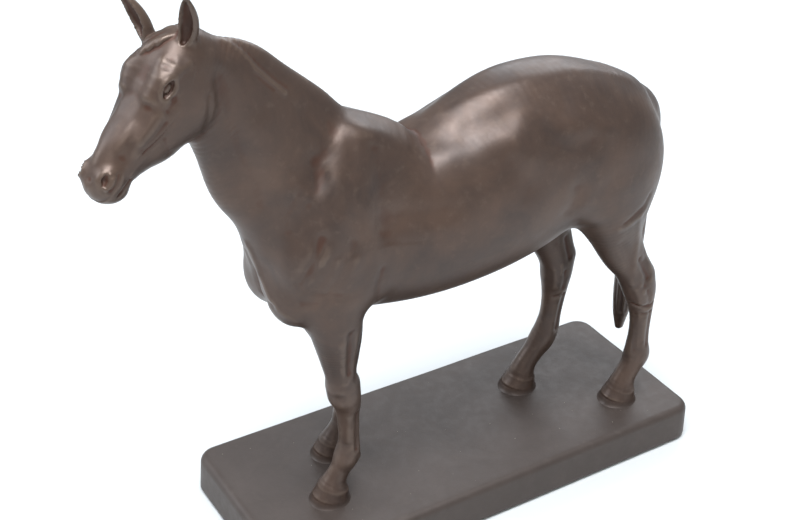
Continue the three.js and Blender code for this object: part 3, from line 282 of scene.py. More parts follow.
# ------------------------------------------------------------------ the horse, in tables
Y0=-1.5
def build(fine=False):
    q=lambda n: n*2 if fine else n
    F=Field(); T=F.add; S=F.stroke
    SY=(0,1,0)
    # ---------------- trunk  [x,y,z,a,bu,bd,nu,nd]
    T(Tube(0,SY,[
     (-91,Y0,142, 11,17,17, 2,2),
     (-84,Y0,143, 17.5,27,29, 2,2),
     (-74,Y0,145, 21,36,35, 1.9,2.1),
     (-60,Y0,146, 23.5,40.7,38, 1.62,2.1),
     (-46,Y0,144, 26,37.6,38.5, 1.68,2.1),
     (-30,Y0,142.0, 28.5,33,38.2, 2.0,2.1),
     (-14,Y0,142.5, 30,37,38.6, 2.1,2.1),
     (4,Y0,146,  30.5,42.0,40.2, 2.1,2.1),
     (20,Y0,150, 29.5,43.3,40.6, 2.1,2.1),
     (36,Y0,153, 29,39.6,36.2, 2.1,2.1),
     (52,Y0,152, 27.5,34.8,33.6, 2.05,2.1),
     (65,Y0,147, 23.5,33,33, 2,2),
     (76,Y0,144, 17,29,31, 2,2),
     (83,Y0,141, 11,24,26, 2,2)],sub=q(4),cap=.9))
    # ---------------- neck (poll -> withers), up radius = crest
    T(Tube(10,SY,[
     (-126,-3.8,221, 8,14.6,11.0, 1.9,2),
     (-116,-3,211.5, 9.5,22.6,13.8, 1.8,2),
     (-104,-2,198, 11.4,25.9,19.8, 1.7,2),
     (-93,Y0,184, 13.6,29.7,26.2, 1.65,2),
     (-82,Y0,169, 16.8,32.6,26.8, 1.65,2),
     (-68,Y0,153, 20,39,27, 1.8,2)],sub=q(4),cap=.9))
    # breast
    for sy in (-1,1):
        T(Ell(8,(-85.3,Y0+sy*9.5,125.2),(12.2,9.8,15.0),(-12,0,0)))
    # ---------------- head (poll -> muzzle), down radius = face, up = jaw
    hy=np.radians(16.); HS=(-np.sin(hy),np.cos(hy),0)
    def H(u,v,w):
        """head frame: u along poll->muzzle, w lateral (+far), v jaw side"""
        o=np.array([-126.8,-4.0,235.0]); e=np.array([-.656*np.cos(hy),-.656*np.sin(hy),-.7547]); s=np.array(HS)
        return o+u*e+v*np.cross(e,s)+w*s
    def hr(u,v,a,bj,bf,nj=2,nf=2): return (*H(u,v,0),a,bj,bf,nj,nf)
    bx=(lambda n: n+.75) if fine else (lambda n: n)
    T(Tube(7,HS,[
     hr(1.2,4.0, 8,10,6.6, 2,2.1),
     hr(7,5, 10.3,13.5,9.0, 2,2.3),
     hr(14,6.5, 11.4,16,10.5, 2,bx(2.5)),
     hr(22,7.0, 11.2,19.3,10.1, 2,bx(2.5)),
     hr(30,6.4, 10.0,17.8,9.3, 2,bx(2.3)),
     hr(37.5,4.8, 8.3,13.4,8.9, 2,bx(2.1)),
     hr(44,3.6, 7.2,10.4,8.6, 2,2),
     hr(50,3.0, 6.9,8.4,7.4, 2.1,2),
     hr(54.8,2.9, 6.5,7.3,6.2, 2.2,2)],sub=q(3)+(2 if fine else 0),cap=.85))
    for w in (-1,1):
        T(Ell(5,H(20,13.5,w*6.3),(10.5,4.4,8.8),(-38,0,0)))   # cheek plate
        if not fine: T(Ell(3,H(15.8,-1.6,w*7.6),(3.6,3.0,3.6)))      # brow
        T(Ell(2.5,H(52,.2,w*4.6),(4.2,2.6,4.0)))       # nostril wing
    T(Ell(3,H(53.7,9.0,0),(3.9,4.7,3.4)))      # chin / lower lip
    # ---------------- ears
    for w in ((-1,1) if not fine else ()):
        E=lambda t,o=0: H(1.5-8.5*t,.5-16.0*t+o,w*(6.0+5.4*t+1.2*np.sin(np.pi*t)))
        T(Tube(2.5,HS,[(*E(1),.7,.7,.7),(*E(.85),2.1,1.4,1.4),(*E(.65),3.4,2.1,2.0),(*E(.42),3.7,2.6,2.2),(*E(.2),3.3,3.0,2.6),(*E(0),3.2,3.2,3)],sub=3,cap=.6))
    # ---------------- fore legs
    def fore(sy,dx,yh,k=5):
        """dx: shift of the hoof relative to near fore; yh: hoof y"""
        y=lambda t: (Y0+sy*16.0)*(1-t)+yh*t
        X=lambda x,t: x+dx*t
        T(Tube(9,SY,[  # shoulder blade + arm mass
          (-57,Y0+sy*9,182, 5,13,10),
          (-68,Y0+sy*14,163, 7.5,17,13),
          (-80,Y0+sy*16.5,146, 8.5,18,13)],sub=3,cap=.8))
        T(Ell(7,(-68,Y0+sy*16.5,134),(17.5,9.2,20),(-25,0,0)))
        T(Ell(6,(-86,Y0+sy*15.5,142),(9,7.5,10),(20,0,0)))
        T(Tube(k,SY,[
          (X(-73,0),y(.0),124, 8.5,12.3,12.8),
          (X(-72.8,.1),y(.1),112, 8.9,12.1,11),
          (X(-71.3,.3),y(.3),102, 8.2,11.0,9.3),
          (X(-69.9,.45),y(.45),92, 6.6,8.9,7.6),
          (X(-68.6,.6),y(.55),83, 5.9,6.8,6.4),
          (X(-67.8,.7),y(.65),77.5, 6.5,7.2,6.7),
          (X(-66.9,.75),y(.7),72.5, 6.6,7.4,6.5),
          (X(-65,.8),y(.75),67, 5.5,6.0,5.6),
          (X(-64.4,.85),y(.8),61, 4.4,5.0,4.8),
          (X(-63.9,.9),y(.85),54, 3.9,4.8,4.4),
          (X(-63.6,.93),y(.9),47, 3.9,4.8,4.4),
          (X(-63.9,.96),y(.95),41.5, 4.8,5.6,5.0),
          (X(-64.8,.98),y(.97),37.5, 5.1,5.8,5.2),
          (X(-66.8,1),y(1),33, 4.3,4.6,4.5),
          (X(-69.2,1),y(1),28.5, 4.6,4.8,4.8),
          (X(-70.6,1),y(1),25.5, 5.4,5.6,5.6)],sub=6 if fine else 2,cap=.9))
        hoof(-70.6+dx,yh,1.0)
    def hoof(x,y,s):
        T(Tube(3.0 if fine else 1.6,SY,([] if fine else [(x+1.2,y,27.2, 6.0*s,6.3*s,5.6*s)])+[
          (x+.2,y,24.0, 6.4*s if fine else 6.8*s,6.6*s if fine else 7.0*s,6.7*s if fine else 7.2*s),
          (x-.6,y,20.0, 7.6*s,7.6*s,8.6*s),
          (x-1.0,y,15.0, 8.8*s if fine else 8.2*s,8.6*s if fine else 8.0*s,10.4*s if fine else 9.6*s)],sub=1,cap=.2))
    fore(-1,0,-14.0); fore(1,15.0,12.0)
    # ---------------- hind legs
    def hind(sy,L,yh,ytop):
        T(Ell(10,(59.5,Y0+sy*14.5,145),(24.5,13,28.5),(-14,0,0)))      # croup/thigh
        T(Ell(9,(71.5,Y0+sy*12.5,135),(14.5,9.5,27),(0,0,0)))      # hamstrings
        T(Tube(8,SY,L,sub=6 if fine else 2,cap=.9))
    ny=lambda t:(Y0-14.5)*(1-t)+(-20)*t
    N=[(56.5,ny(0),140, 12,22,16.5),
       (59.5,ny(.2),125, 11.5,18.8,11.6),
       (64.4,ny(.4),112, 9.0,15.4,9.6),
       (71.2,ny(.55),100, 7.2,12.2,8.5),
       (76.7,ny(.7),91.5, 6.4,10.4,7.0),
       (81.4,ny(.8),84, 6.5,10.0,7.4),
       (84.9,ny(.86),77, 6.3,8.5,7.5),
       (86.9,ny(.9),70, 5.3,6.5,6.4),
       (88.0,ny(.93),62, 4.4,5.4,5.4),
       (88.3,ny(.96),53, 4.2,5.1,5.2),
       (88.3,ny(.98),46, 4.7,5.8,5.7),
       (88.4,ny(1),40.5, 5.5,6.8,6.2),
       (86.0,ny(1),35, 4.9,5.5,5.2),
       (83.4,ny(1),30, 5.0,5.3,5.4),
       (82.0,ny(1),26.5, 5.6,6.0,6.0)]
    global NEAR_HIND,OFF_HIND,TAIL_ROWS,HOOVES
    NEAR_HIND=N
    hind(-1,N,-20,0); hoof(81.6,-20,1.03)
    oy=lambda t:(Y0+14.5)*(1-t)+(11)*t
    O=[(50,oy(0),140, 12,22,18),
       (50,oy(.2),125, 11.5,21,16),
       (51,oy(.4),112, 9.2,15.5,13.0),
       (54.5,oy(.55),100, 7.2,11.5,10.8),
       (57.5,oy(.7),91.5, 6.4,10.6,8.5),
       (60,oy(.8),84, 6.5,10.2,7.6),
       (61,oy(.86),77, 6.3,8.6,7.6),
       (61.2,oy(.9),70, 5.4,7.0,6.6),
       (60.8,oy(.93),62, 4.5,6.2,5.6),
       (60,oy(.96),54, 4.3,5.9,5.3),
       (58.8,oy(.98),47.5, 4.9,6.6,5.9),
       (56.5,oy(1),41.5, 5.5,6.8,6.2),
       (52.0,oy(1),35.5, 4.9,5.5,5.2),
       (48.4,oy(1),30.5, 5.0,5.3,5.4),
       (46.6,oy(1),26.8, 5.6,6.0,6.0)]
    OFF_HIND=O
    hind(1,O,11,0); hoof(46.0,11,1.03)
    # ---------------- tail
    TAIL_ROWS=[
       (74,Y0,170, 4.5,4,4),
       (83,Y0,164.5, 4.6,4.2,4.2),
       (88,Y0,155, 5.2,4.2,4.2),
       (90.5,Y0,142, 5.6,4.4,4.4),
       (91.5,Y0,125, 6.0,4.8,4.8),
       (92.5,Y0,106, 6.4,5.2,5.2),
       (93,Y0,88, 6.2,5.2,5.2),
       (93.2,Y0+.3,70, 5.4,5.0,5.0),
       (93.5,Y0+.6,54, 4.0,4.2,4.2),
       (94.0,Y0+.8,43.2, 1.8,2.2,2.2)]
    T(Tube(4,SY,TAIL_ROWS,sub=3,cap=.8))
    HOOVES=[(-70.6,-14.0,1.0),(-55.6,12.0,1.0),(81.6,-20,1.03),(46.0,11,1.03)]
    F.H=H; F.HS=HS
    return F

STROKES=[
 ('mane_line',0.55,1.2,[(-110.2,-5,229.8),(-104.7,-7.1,225.9),(-99.8,-9.1,219.4),(-94.1,-9.6,213.6),(-88.8,-9.8,208.4)],1),
 ('mane_band',-0.3,2,[(-105.5,-5.9,227.7),(-97.1,-8.2,219.7),(-87.5,-8.8,210.4)],1),
 ('jaw_crease',-0.8,1.2,[(-119.5,-14.8,215.3),(-120.1,-14.8,210.3),(-121.1,-13.3,204)],1),
 ('jugular',-0.9,3,[(-113.8,-11.8,219.4),(-112.1,-12.2,213.7),(-111.2,-12.8,202.6),(-108.5,-12.8,192.4),(-105.1,-13.1,183),(-103.3,-13.3,177.4),(-102.2,-13.1,168.9)],1),
 ('wither_front',-1,2.6,[(-79.4,-10,199.8),(-73,-9.4,195.8),(-68.7,-10.7,191.3)],1),
 ('shoulder_1',-1.2,1.8,[(-80.2,-15.8,181.6),(-79.6,-17.8,177.5),(-81.3,-19.4,173.4),(-85,-20.1,168.5)],1),
 ('shoulder_2',-0.8,1.7,[(-88.2,-17.9,171.6),(-91.7,-17.6,167),(-93,-17.6,163.3),(-93.5,-18.4,157.9)],1),
 ('shoulder_3',0.8,2,[(-75.3,-17.3,180.2),(-75.2,-20.2,175.4),(-76.8,-21,173)],1),
 ('shoulder_4',-0.8,1.6,[(-76.5,-21.9,171.3),(-77.2,-24,165.5)],1),
 ('shoulder_5',0.5,2,[(-73,-22.3,171.8),(-73.3,-25.3,163),(-77.2,-27.1,152.3),(-82.7,-27.4,146.8)],1),
 ('arm_1',-0.9,1.5,[(-83.1,-25.7,154.2),(-84.9,-26.9,147.2),(-87.4,-26,141.9)],1),
 ('arm_2',0.5,1,[(-81.9,-26.7,151.4),(-86,-26.5,143),(-88.6,-24.5,136.6)],1),
 ('arm_3',-0.5,1,[(-81.6,-27.6,146.6),(-83.4,-27.2,143.5)],1),
 ('arm_4',0.8,1.2,[(-77.6,-28,145.7),(-79.4,-27.6,140.3),(-82,-25.5,133.3)],1),
 ('arm_5',-1,2,[(-70.3,-27.6,150.6),(-72.7,-28.4,144.4),(-74.5,-28,136.8),(-75.9,-26.8,130.8)],1),
 ('arm_6',0.5,2.6,[(-61.8,-27.1,147.8),(-61,-27.7,139.1),(-62.3,-27.4,130.4)],1),
 ('girth',-0.8,1.2,[(-56.8,-23.3,119.4),(-58.8,-26.8,129.5),(-57.5,-27.3,135.6)],1),
 ('barrel_line',-0.8,2.2,[(-58.5,-25.5,157.7),(-49.3,-24.8,155.6),(-37.2,-26.9,154.7),(-31,-27.9,154.8)],1),
 ('scapula_1',-0.5,2.5,[(-65.1,-14,188.3),(-66.8,-18.5,180.7),(-69.1,-21.2,175.2)],1),
 ('scapula_2',0.4,4,[(-60.8,-17.4,182.8),(-60.1,-20.2,176.5)],1),
 ('scapula_3',-0.5,3.2,[(-50.4,-16.7,179.9),(-52.6,-22.5,166.5)],1),
 ('scapula_top',0.5,2.5,[(-67.5,-12.2,189.7),(-63.1,-11.9,190.2),(-58.2,-12.1,188.7)],1),
 ('chest_mid',0.6,1.2,[(-103.2,-4.3,148.1),(-101.6,-5.7,143.7),(-99.8,-6.8,134.9),(-98,-12.8,126.6),(-94.1,-16.5,121.2),(-89.6,-17.6,117.1)],0),
 ('chest_groove',-0.9,1.3,[(-101.8,-0.3,142.1),(-100.1,-2.4,135.7),(-95.9,-2,122.8),(-97.3,-12.9,123.7)],0),
 ('back_valley',-1.1,5,[(-30.4,-7.7,175.1),(-23.9,-11.6,176.2),(-16.8,-14.5,178),(-8.5,-15.6,180.8),(0,-16.6,183),(9,-17.1,185.1),(17.9,-18,185.6),(26.3,-20.1,183.7)],1),
 ('spine',0.5,2.4,[(-17.7,-1.8,181.1),(-6.5,-5.4,185.7),(5.4,-8.4,189),(23.2,-10.2,190.6),(39,-9.2,189.9),(55.3,-8.6,186.3),(70.3,-9.5,179.9)],0),
 ('hip_point',1.3,5,[(3,-25.7,172.7),(6,-28.1,167.9)],1),
 ('rump_bulge',1,4.5,[(28.9,-26.6,173.8),(37.7,-26.3,173.8),(45.6,-27,171.4)],1),
 ('rump_hollow',-0.8,4,[(14.4,-23.8,178.1),(18.5,-27,172.1),(25.7,-28.4,168.8),(37.8,-28.3,168.5)],1),
 ('flank_hollow',-0.6,4,[(21.6,-28.9,167),(24.3,-30.3,159.9)],1),
 ('flank_low',-0.4,4,[(2.1,-29.5,163.4),(5,-30.7,158.8)],1),
 ('flank_fold',-1.2,2.4,[(31.6,-30.6,148.2),(31.5,-29.9,141.9),(29.5,-29.2,137.9)],1),
 ('thigh_bulge',0.5,4.5,[(36.5,-30.4,158.2),(42.1,-31,152)],1),
 ('ham_1',-0.5,1.2,[(74.3,-28,133.2),(71.8,-28.5,129.2),(66.6,-29.4,126.3),(61.2,-29.3,122.8)],1),
 ('ham_2',0.45,1.2,[(73.7,-27.6,126.3),(66,-28.8,122.7),(59.1,-28.9,120.8)],1),
 ('gaskin_1',0.5,1.6,[(70.1,-28.3,124.2),(74.5,-24.8,109.2),(74,-25.2,99.3),(75.4,-24.2,85.8)],0),
 ('hock_hollow',-1,1.7,[(81.5,-24,95.4),(83.5,-24.9,89),(82,-25.7,83.5)],0),
 ('hock_line',-0.7,0.7,[(79.1,-21.6,72.9),(82.3,-24.2,71.8),(88,-24.8,70.3),(90.1,-24.2,71.4)],0),
 ('cannon_h',-0.45,0.9,[(82.2,-22,66.1),(84,-23,46)],0),
 ('pectoral_side',-0.4,1.5,[(-88.5,-21.1,126.1),(-84.4,-23.7,126.3)],0),
 ('chest_side',0.3,3,[(-103,-11.9,164.4),(-100.5,-12.1,153.2),(-98.5,-12.7,143.6)],1),
 ('b_scap_front',-1.3,3.8,[(-77.9,-16.1,181.5),(-81.1,-19,174.3),(-86.9,-20.7,164.4),(-91.7,-21.8,153.7)],1),
 ('b_should_ridge',1,3.8,[(-68,-15.3,185.6),(-72.3,-20.9,175),(-77.8,-25,162),(-85.3,-26.8,147.3)],1),
 ('b_neck_low',0.7,5.5,[(-100.2,-13.4,198.3),(-97.2,-14.6,184.5),(-94.1,-16,174.3)],1),
 ('b_jug',-1.1,4.2,[(-113.6,-12.4,213.8),(-111.6,-12.7,200.7),(-107.5,-12.8,187.4),(-103.3,-13.1,174.5)],1),
 ('b_tric_back',-1.2,4.5,[(-56,-17.3,181.6),(-56.3,-22.8,167.6),(-55.8,-25.8,151.9)],1),
 ('b_barrel',0.9,8,[(-39.3,-18.6,168.8),(-28.1,-18.6,169.8)],1),
 ('b_barrel_low',-0.6,6,[(-51.5,-24.9,155.4),(-37.2,-27,154.3),(-26.9,-28.6,154.8)],1),
 ('b_elbow',0.8,3.5,[(-71,-28.4,143.9),(-75.3,-27.3,133.1)],1),
 ('b_arm_gr',-0.9,2.6,[(-83,-25.5,155.3),(-87.4,-26.1,145),(-90.4,-23.9,137.2)],1),
 ('b_flank',-1.2,7,[(0.3,-28.3,166.3),(6.4,-31.2,156)],1),
 ('b_loin',-0.8,6,[(-13.8,-17,177.5),(0.9,-18.9,181.3)],1),
 ('b_stifle',1,5.5,[(37.3,-29.5,139.1),(44.1,-27.5,128.2)],1),
]

def details(F):
    """surface detail laid over the blended body: eyes, nostrils, mouth, ears, forelock, tendons, muscle lines"""
    H=F.H; T=F.add; S=F.stroke
    HS=F.HS
    for w in (-1,1):
        # orbit, socket, eyeball, lids
        T(Tube(3.5,HS,[(*H(10.5,-2.2,w*6.4),3.0,2.6,2.4),(*H(15.5,-2.3,w*6.9),3.8,3.4,3.1),(*H(21.5,-1.6,w*6.3),3.0,2.6,2.4)],sub=2))
        T(Tube(.5,HS,[(*H(14.6,-1.2,w*11.7),1.8,1.3,1.3),(*H(16.8,-1.3,w*11.6),2.7,2.1,2.0),(*H(19.3,-1.0,w*11.3),1.8,1.3,1.3)],sub=2),'c')
        T(Tube(.25,HS,[(*H(16.4,-1.25,w*8.3),2.3,2.1,2.1),(*H(17.2,-1.25,w*8.25),2.3,2.1,2.1)],sub=1))
        S(Stroke(.35,.8,[H(12.9,-.9,w*10.4),H(14.4,-3.0,w*10.6),H(16.8,-3.9,w*10.4),H(19.4,-3.0,w*10),H(21.2,-.9,w*9.6)]))
        S(Stroke(.25,.65,[H(13.2,-.2,w*10.8),H(15.2,1.3,w*11),H(17.6,1.5,w*10.8),H(20.4,.2,w*10)]))
        S(Stroke(.4,1.5,[H(12.6,-1.5,w*10.4),H(9,0.2,w*10.6),H(6,1.9,w*10.4)]))
        S(Stroke(-.9,2.3,[H(8.6,-3.6,w*7.6),H(10.6,-3.9,w*7.8)]))
        S(Stroke(-.7,2.0,[H(19.5,2.6,w*11),H(23,2.4,w*10.6)]))
        S(Stroke(.45,1.7,[H(20.5,1.5,w*10.8),H(26.6,1.6,w*9.9),H(31.3,1.7,w*9),H(35.7,1.3,w*7.9)]))
        S(Stroke(-.5,1.8,[H(27,5.2,w*9.6),H(33,5.0,w*8.4),H(38,4,w*7.6)]))
        S(Stroke(-.65,2.2,[H(26,-2.6,w*7.4),H(34,-1.4,w*6.9),H(43,-.6,w*6.2)]))
        S(Stroke(-.6,2.0,[H(31.5,9,w*8.0),H(34.5,15,w*6)]))
        S(Stroke(.35,1.2,[H(40,6.5,w*6.4),H(47,5.6,w*6.4)]))
        # nostril: opening, rim, wing fold
        T(Tube(.5,HS,[(*H(51.0,-2.9,w*7.4),2.2,.8,.8),(*H(52.8,-2.5,w*7.5),3.0,1.2,1.15),(*H(54.4,-2.0,w*7.2),2.2,.9,.85)],sub=2),'c')
        S(Stroke(.5,.7,[H(49.9,-2.4,w*7.3),H(51.0,-4.1,w*7.2),H(53.4,-4.1,w*7.1),H(55.4,-2.6,w*6.6),H(55.2,-.6,w*6.8),H(53,-.2,w*7.4),H(50.8,-.8,w*7.4)]))
        S(Stroke(-.4,1.0,[H(49.0,.6,w*7.2),H(52,1.7,w*7.0),H(55,1.3,w*6.4)]))
        # mouth
        S(Stroke(-.85,.6,[H(58.6,4.2,0),H(57.8,4.9,w*3.0),H(55.6,5.7,w*5.2),H(52.0,6.5,w*6.2),H(48.8,7.0,w*6.2)]))
        S(Stroke(.3,.9,[H(57,7.2,w*2),H(54,8.4,w*4.2),H(50.5,8.4,w*5.2)]))
        S(Stroke(-.4,1.1,[H(48.6,10.6,0),H(48.6,9.8,w*3.6)]))
        # ears: leaf shaped, hollow on the front, dark inside
        b0,t0=((-.2,1.6,-5.4),(-10.6,-13.4,-10.8)) if w<0 else ((3.4,-.6,10.6),(-4.2,-14.2,17.4)); ew=.92 if w<0 else .8
        b0,t0=np.array(b0,float),np.array(t0,float); ax=np.array(H(*t0))-np.array(H(*b0)); al=unit(ax)
        fr=np.array([-.80,-.50,.10]) if w<0 else np.array([-.93,-.26,.05])          # way the opening faces
        fr=unit(fr-al*(fr@al)); lt=np.cross(al,fr)
        E=lambda t,f=0,l=0: np.array(H(*(b0*(1-t)+t0*t)))+fr*(f-.9*np.sin(np.pi*t))+lt*(l*w*0+l)
        T(Tube(2.0,lt,[(*E(-.12),2.6,2.8,2.8),(*E(.06),3.2*ew,3.1,3.1),(*E(.22),3.7*ew,3.1,3.1),(*E(.42),3.95*ew,2.8,2.8),(*E(.62),3.5*ew,2.3,2.3),(*E(.8),2.5*ew,1.6,1.6),(*E(.93),1.3*ew,.95,.95),(*E(1.02),.5,.5,.5)],sub=5,cap=.6))
        T(Tube(.4,lt,[(*E(.10,2.8),1.1,1.5,1.5),(*E(.26,2.8),2.5*ew,2.9,2.9),(*E(.45,2.6),3.15*ew,2.9,2.9),(*E(.62,2.2),2.8*ew,2.3,2.3),(*E(.78,1.7),1.9*ew,1.7,1.7),(*E(.91,1.2),.9*ew,.9,.9)],sub=5),'c')
        S(Stroke(-.35,1.0,[E(.0,-2.6,.2),E(.5,-2.6,.2)]))
    # face: nasal bridge and forehead
    S(Stroke(.35,2.4,[H(20,-3.6,0),H(36,-3.2,0),H(48,-3.4,0)]))
    S(Stroke(-.35,2.6,[H(24,-3.6,0),H(30,-3.4,0)]))
    S(Stroke(-.35,1.4,[H(54.5,-3.0,0),H(58,0,0),H(58.8,2.6,0)]))
    # forelock: a flat tuft swept to the far side
    for a,b,r in (((-.8,-.6,.6),(13.6,-4.4,7.4),1.0),((-.6,-1.0,-.4),(12.0,-4.5,5.2),1.1),((-.4,-1.2,-1.4),(9.4,-4.4,3.0),1.1),((-.2,-1.2,-2.2),(6.4,-4.0,.6),1.0),((-1.0,-.2,2.2),(12.0,-3.7,8.4),1.0),((-1.0,.4,3.6),(9.0,-2.7,8.4),.95)):
        a=np.array(a);b=np.array(b); m=(a+b)/2+np.array([0,-1.15,0.6])
        T(Tube(.35,HS,[(*H(*a),r*1.1,r,r),(*H(*m),r*1.25,r,r),(*H(*(m*.35+b*.65+np.array([0,-.35,.1]))),r*1.1,r*.8,r*.8),(*H(*b),.35,.35,.35)],sub=3))
    # mane line and band along the crest and the muscle lines of the body, from the stroke table: strengths and widths
    # rescaled, mirrored ones laid on the far side too
    for nm,A,sg,pts,mir in STROKES:
        if nm in ('b_scap_front','b_should_ridge','b_jug'): A,sg=A*.62,sg*1.35
        elif nm[:2]=='b_': pass
        elif nm in ('barrel_line','wither_front','girth','scapula_top','flank_fold'): A,sg=A*.6,sg*1.8
        elif nm[:4] in ('shou','arm_','jaw_'): A,sg=A*.5,sg*1.55
        elif nm[:4]!='mane': A,sg=A*.85,sg*1.3
        S(Stroke(A,sg,pts))
        if mir: S(Stroke(A,sg,[(p[0],2*Y0-p[1],p[2]) for p in pts]))
    # legs: tendon grooves, knee and hock bones, coronets
    def side(pts,hw,A,sg):
        for q in (-1,1): S(Stroke(A,sg,[(x,y+q*h,z) for (x,y,z),h in zip(pts,hw)]))
    for dx,yh,sy in ((0,-14.,-1),(15.,12.,1)):
        yy=lambda t:(Y0+sy*16.0)*(1-t)+yh*t; X=lambda x,t:x+dx*t
        side([(X(-62.2,.82),yy(.8),63),(X(-61.7,.88),yy(.85),56),(X(-61.4,.92),yy(.9),49),(X(-61.6,.95),yy(.95),43.5)],(4.0,3.6,3.6,4.2),-.8,1.3)
        side([(X(-66.2,.82),yy(.8),61),(X(-65.8,.92),yy(.9),49)],(4.2,3.8),.3,1.6)
        T(Ell(2.4,(X(-62.6,.68),yy(.66),77.4),(2.3,2.3,3.4)))                       # accessory carpal bone
        S(Stroke(-.3,1.6,[(X(-70.8,.72),yy(.66)-6,74.6),(X(-72.6,.72),yy(.66),74.9),(X(-70.8,.72),yy(.66)+6,74.6)]))
        S(Stroke(.3,2.0,[(X(-71.2,.7),yy(.64)-4.5,78.2),(X(-71.2,.7),yy(.64)+4.5,78.2)]))
        S(Stroke(.3,2.0,[(X(-70.5,.78),yy(.7)-4.2,70.4),(X(-70.5,.78),yy(.7)+4.2,70.4)]))
        side([(X(-69.5,.2),yy(.2),108),(X(-68.8,.35),yy(.35),97),(X(-68.2,.5),yy(.5),87)],(8.6,7.6,6.1),-1.0,2.0)
        side([(X(-73.6,.2),yy(.2),104),(X(-71.6,.4),yy(.4),93),(X(-69.6,.58),yy(.55),83)],(7.2,6.2,5.0),.8,2.0)
        side([(X(-62.6,.25),yy(.25),104),(X(-63.4,.45),yy(.42),92),(X(-62.9,.6),yy(.56),82)],(6.4,5.2,4.8),-.9,1.8)
        side([(X(-59.9,.97),yy(.97),38.2)],(2.6,),.7,1.7)
        S(Stroke(-.5,1.2,[(X(-60.8,.97),yy(.97),37.0),(X(-61.2,.97),yy(.97),41)]))
        S(Stroke(-.5,1.0,[(X(-64.6,1),yh,31.5),(X(-66.4,1),yh,27.5)]))
    for L,yh in ((NEAR_HIND,-20.),(OFF_HIND,11.)):
        def at(z):
            i=[k for k in range(len(L)-1) if L[k][2]>=z>=L[k+1][2]][0]; a,b=L[i],L[i+1]; t=(a[2]-z)/(a[2]-b[2])
            return [a[k]+(b[k]-a[k])*t for k in range(6)]
        for zs,fx,A,sg in (((98,92,87),.45,-1.0,1.5),((99,92,86),.86,.35,1.2),((66,60,54,48),.36,-.75,1.3),((80,76,71),.1,-.55,1.5),((82,77,72),-.55,.5,1.6),((84,80),-.15,.35,1.4),((112,104,97),-.1,-.35,1.8)):
            for q in (-1,1):
                pts=[]
                for z in zs:
                    r=at(z); b=r[4] if fx>0 else r[5]
                    pts.append((r[0]+fx*b, r[1]+q*r[3]*np.sqrt(max(0,1-fx*fx)), z))
                S(Stroke(A,sg,pts))
        r=at(85.5); T(Ell(2.0,(r[0]+r[4]*.78,r[1],85.6),(3.0,2.9,4.6),(-20,0,0)))   # point of hock
        r=at(41.5); S(Stroke(.6,1.7,[(r[0]+r[4]*.9,r[1],41.0)]))
        r=at(66.5); S(Stroke(-.4,.8,[(r[0]-r[5]*.5,r[1]-r[3]*.86,66.4),(r[0],r[1]-r[3],66.6),(r[0]+r[4]*.6,r[1]-r[3]*.8,66.4)]))
    # coronets and hoof walls
    for x,y,s in HOOVES:
        ring=lambda z,rx,ry,x0: [(x0+rx*np.cos(a),y+ry*np.sin(a),z+.9*np.cos(a)*-1) for a in np.linspace(0,2*np.pi,17)]
        S(Stroke(-.10,1.1,ring(25.0,6.4*s,6.4*s,x+.6)))
        T(Ell(2.0,(x-1,y,16.9),(12.2,11.0,1.0)))
        S(Stroke(-.7,1.3,[(x+8.2*s,y,19.5),(x+7.4*s,y,24.5)]))
    # tail: hair running down its length
    for a0 in np.linspace(0,2*np.pi,11)[:-1]:
        pts=[]
        for r in TAIL_ROWS[1:-1]:
            a=a0+.012*(170-r[2]); pts.append((r[0]+r[4]*np.cos(a),r[1]+r[3]*np.sin(a),r[2]))
        S(Stroke(-.42,.8,pts))
    S(Stroke(-.8,1.3,[(86,Y0-4.6,163),(89,Y0-5.6,150),(90.5,Y0-6.2,136)])); S(Stroke(-.8,1.3,[(86,Y0+4.6,163),(89,Y0+5.6,150),(90.5,Y0+6.2,136)]))
    for y in (-19.5,16.5): S(Stroke(1.5,5.0,[(-84.4,y,170.3)]))
    for x in (-22,17): S(Stroke(1.0,8.0,[(x,Y0,104)]))
    # inner thigh line between the buttocks below the tail
    S(Stroke(-1.6,2.4,[(88,Y0,140),(86,Y0,125),(80,Y0,114)]))

# ------------------------------------------------------------------ meshes
def follow(F,V,g,lim,it):
    """move onto the surface along the carried gradient g"""
    for _ in range(it):
        f=F.evb(V); g2=np.maximum((g**2).sum(1),.08)
        st=-(f/g2)[:,None]*g; l=np.linalg.norm(st,axis=1,keepdims=True)
        V=V+st*np.minimum(1,lim/np.maximum(l,1e-9))
    return V

def vnormals(V,Q):
    c=np.cross(V[Q[:,2]]-V[Q[:,0]],V[Q[:,3]]-V[Q[:,1]]); N=np.zeros_like(V)
    for k in range(4):
        for d in range(3): N[:,d]+=np.bincount(Q[:,k],c[:,d],len(V))
    return unit(N)

def cavity(V,Q,N,step,radius):
    """mean-curvature measure: how far the surface lies under its own smoothed copy, in mm"""
    W=V.copy(); n=max(2,int(round((radius/step)**2)))
    for _ in range(n): W=relax(W,Q,.6)
    c=((W-V)*N).sum(1); A=np.stack([c,c,c],1)
    for _ in range(max(1,int(.8/step)**2)+1): A=relax(A,Q,.6)
    return A[:,0]

def grid_mesh(F,lo,hi,h,levels):
    lo=np.array(lo,float); m=max(1,int(round(4.0/h))); n=np.ceil((np.array(hi)-lo)/h).astype(int)+1
    V,Q=nets_of(fill(F,lo,n,h,m,sup=2),lo,h,None,0)
    V=relax(V,Q,.5); g=F.grad(V); V=follow(F,V,g,.6*h,1)
    V=relax(V,Q,.35); g=F.grad(V); V=follow(F,V,g,.4*h,1)
    for l in range(levels):
        W,Q=subdivide(np.hstack([V,g]),Q); V=W[:,:3]; g=W[:,3:]; h=h/2
        V=follow(F,V,g,.5*h,2)
    N=vnormals(V,Q)
    return V,Q,N,cavity(V,Q,N,h,1.5),cavity(V,Q,N,h,4.0)

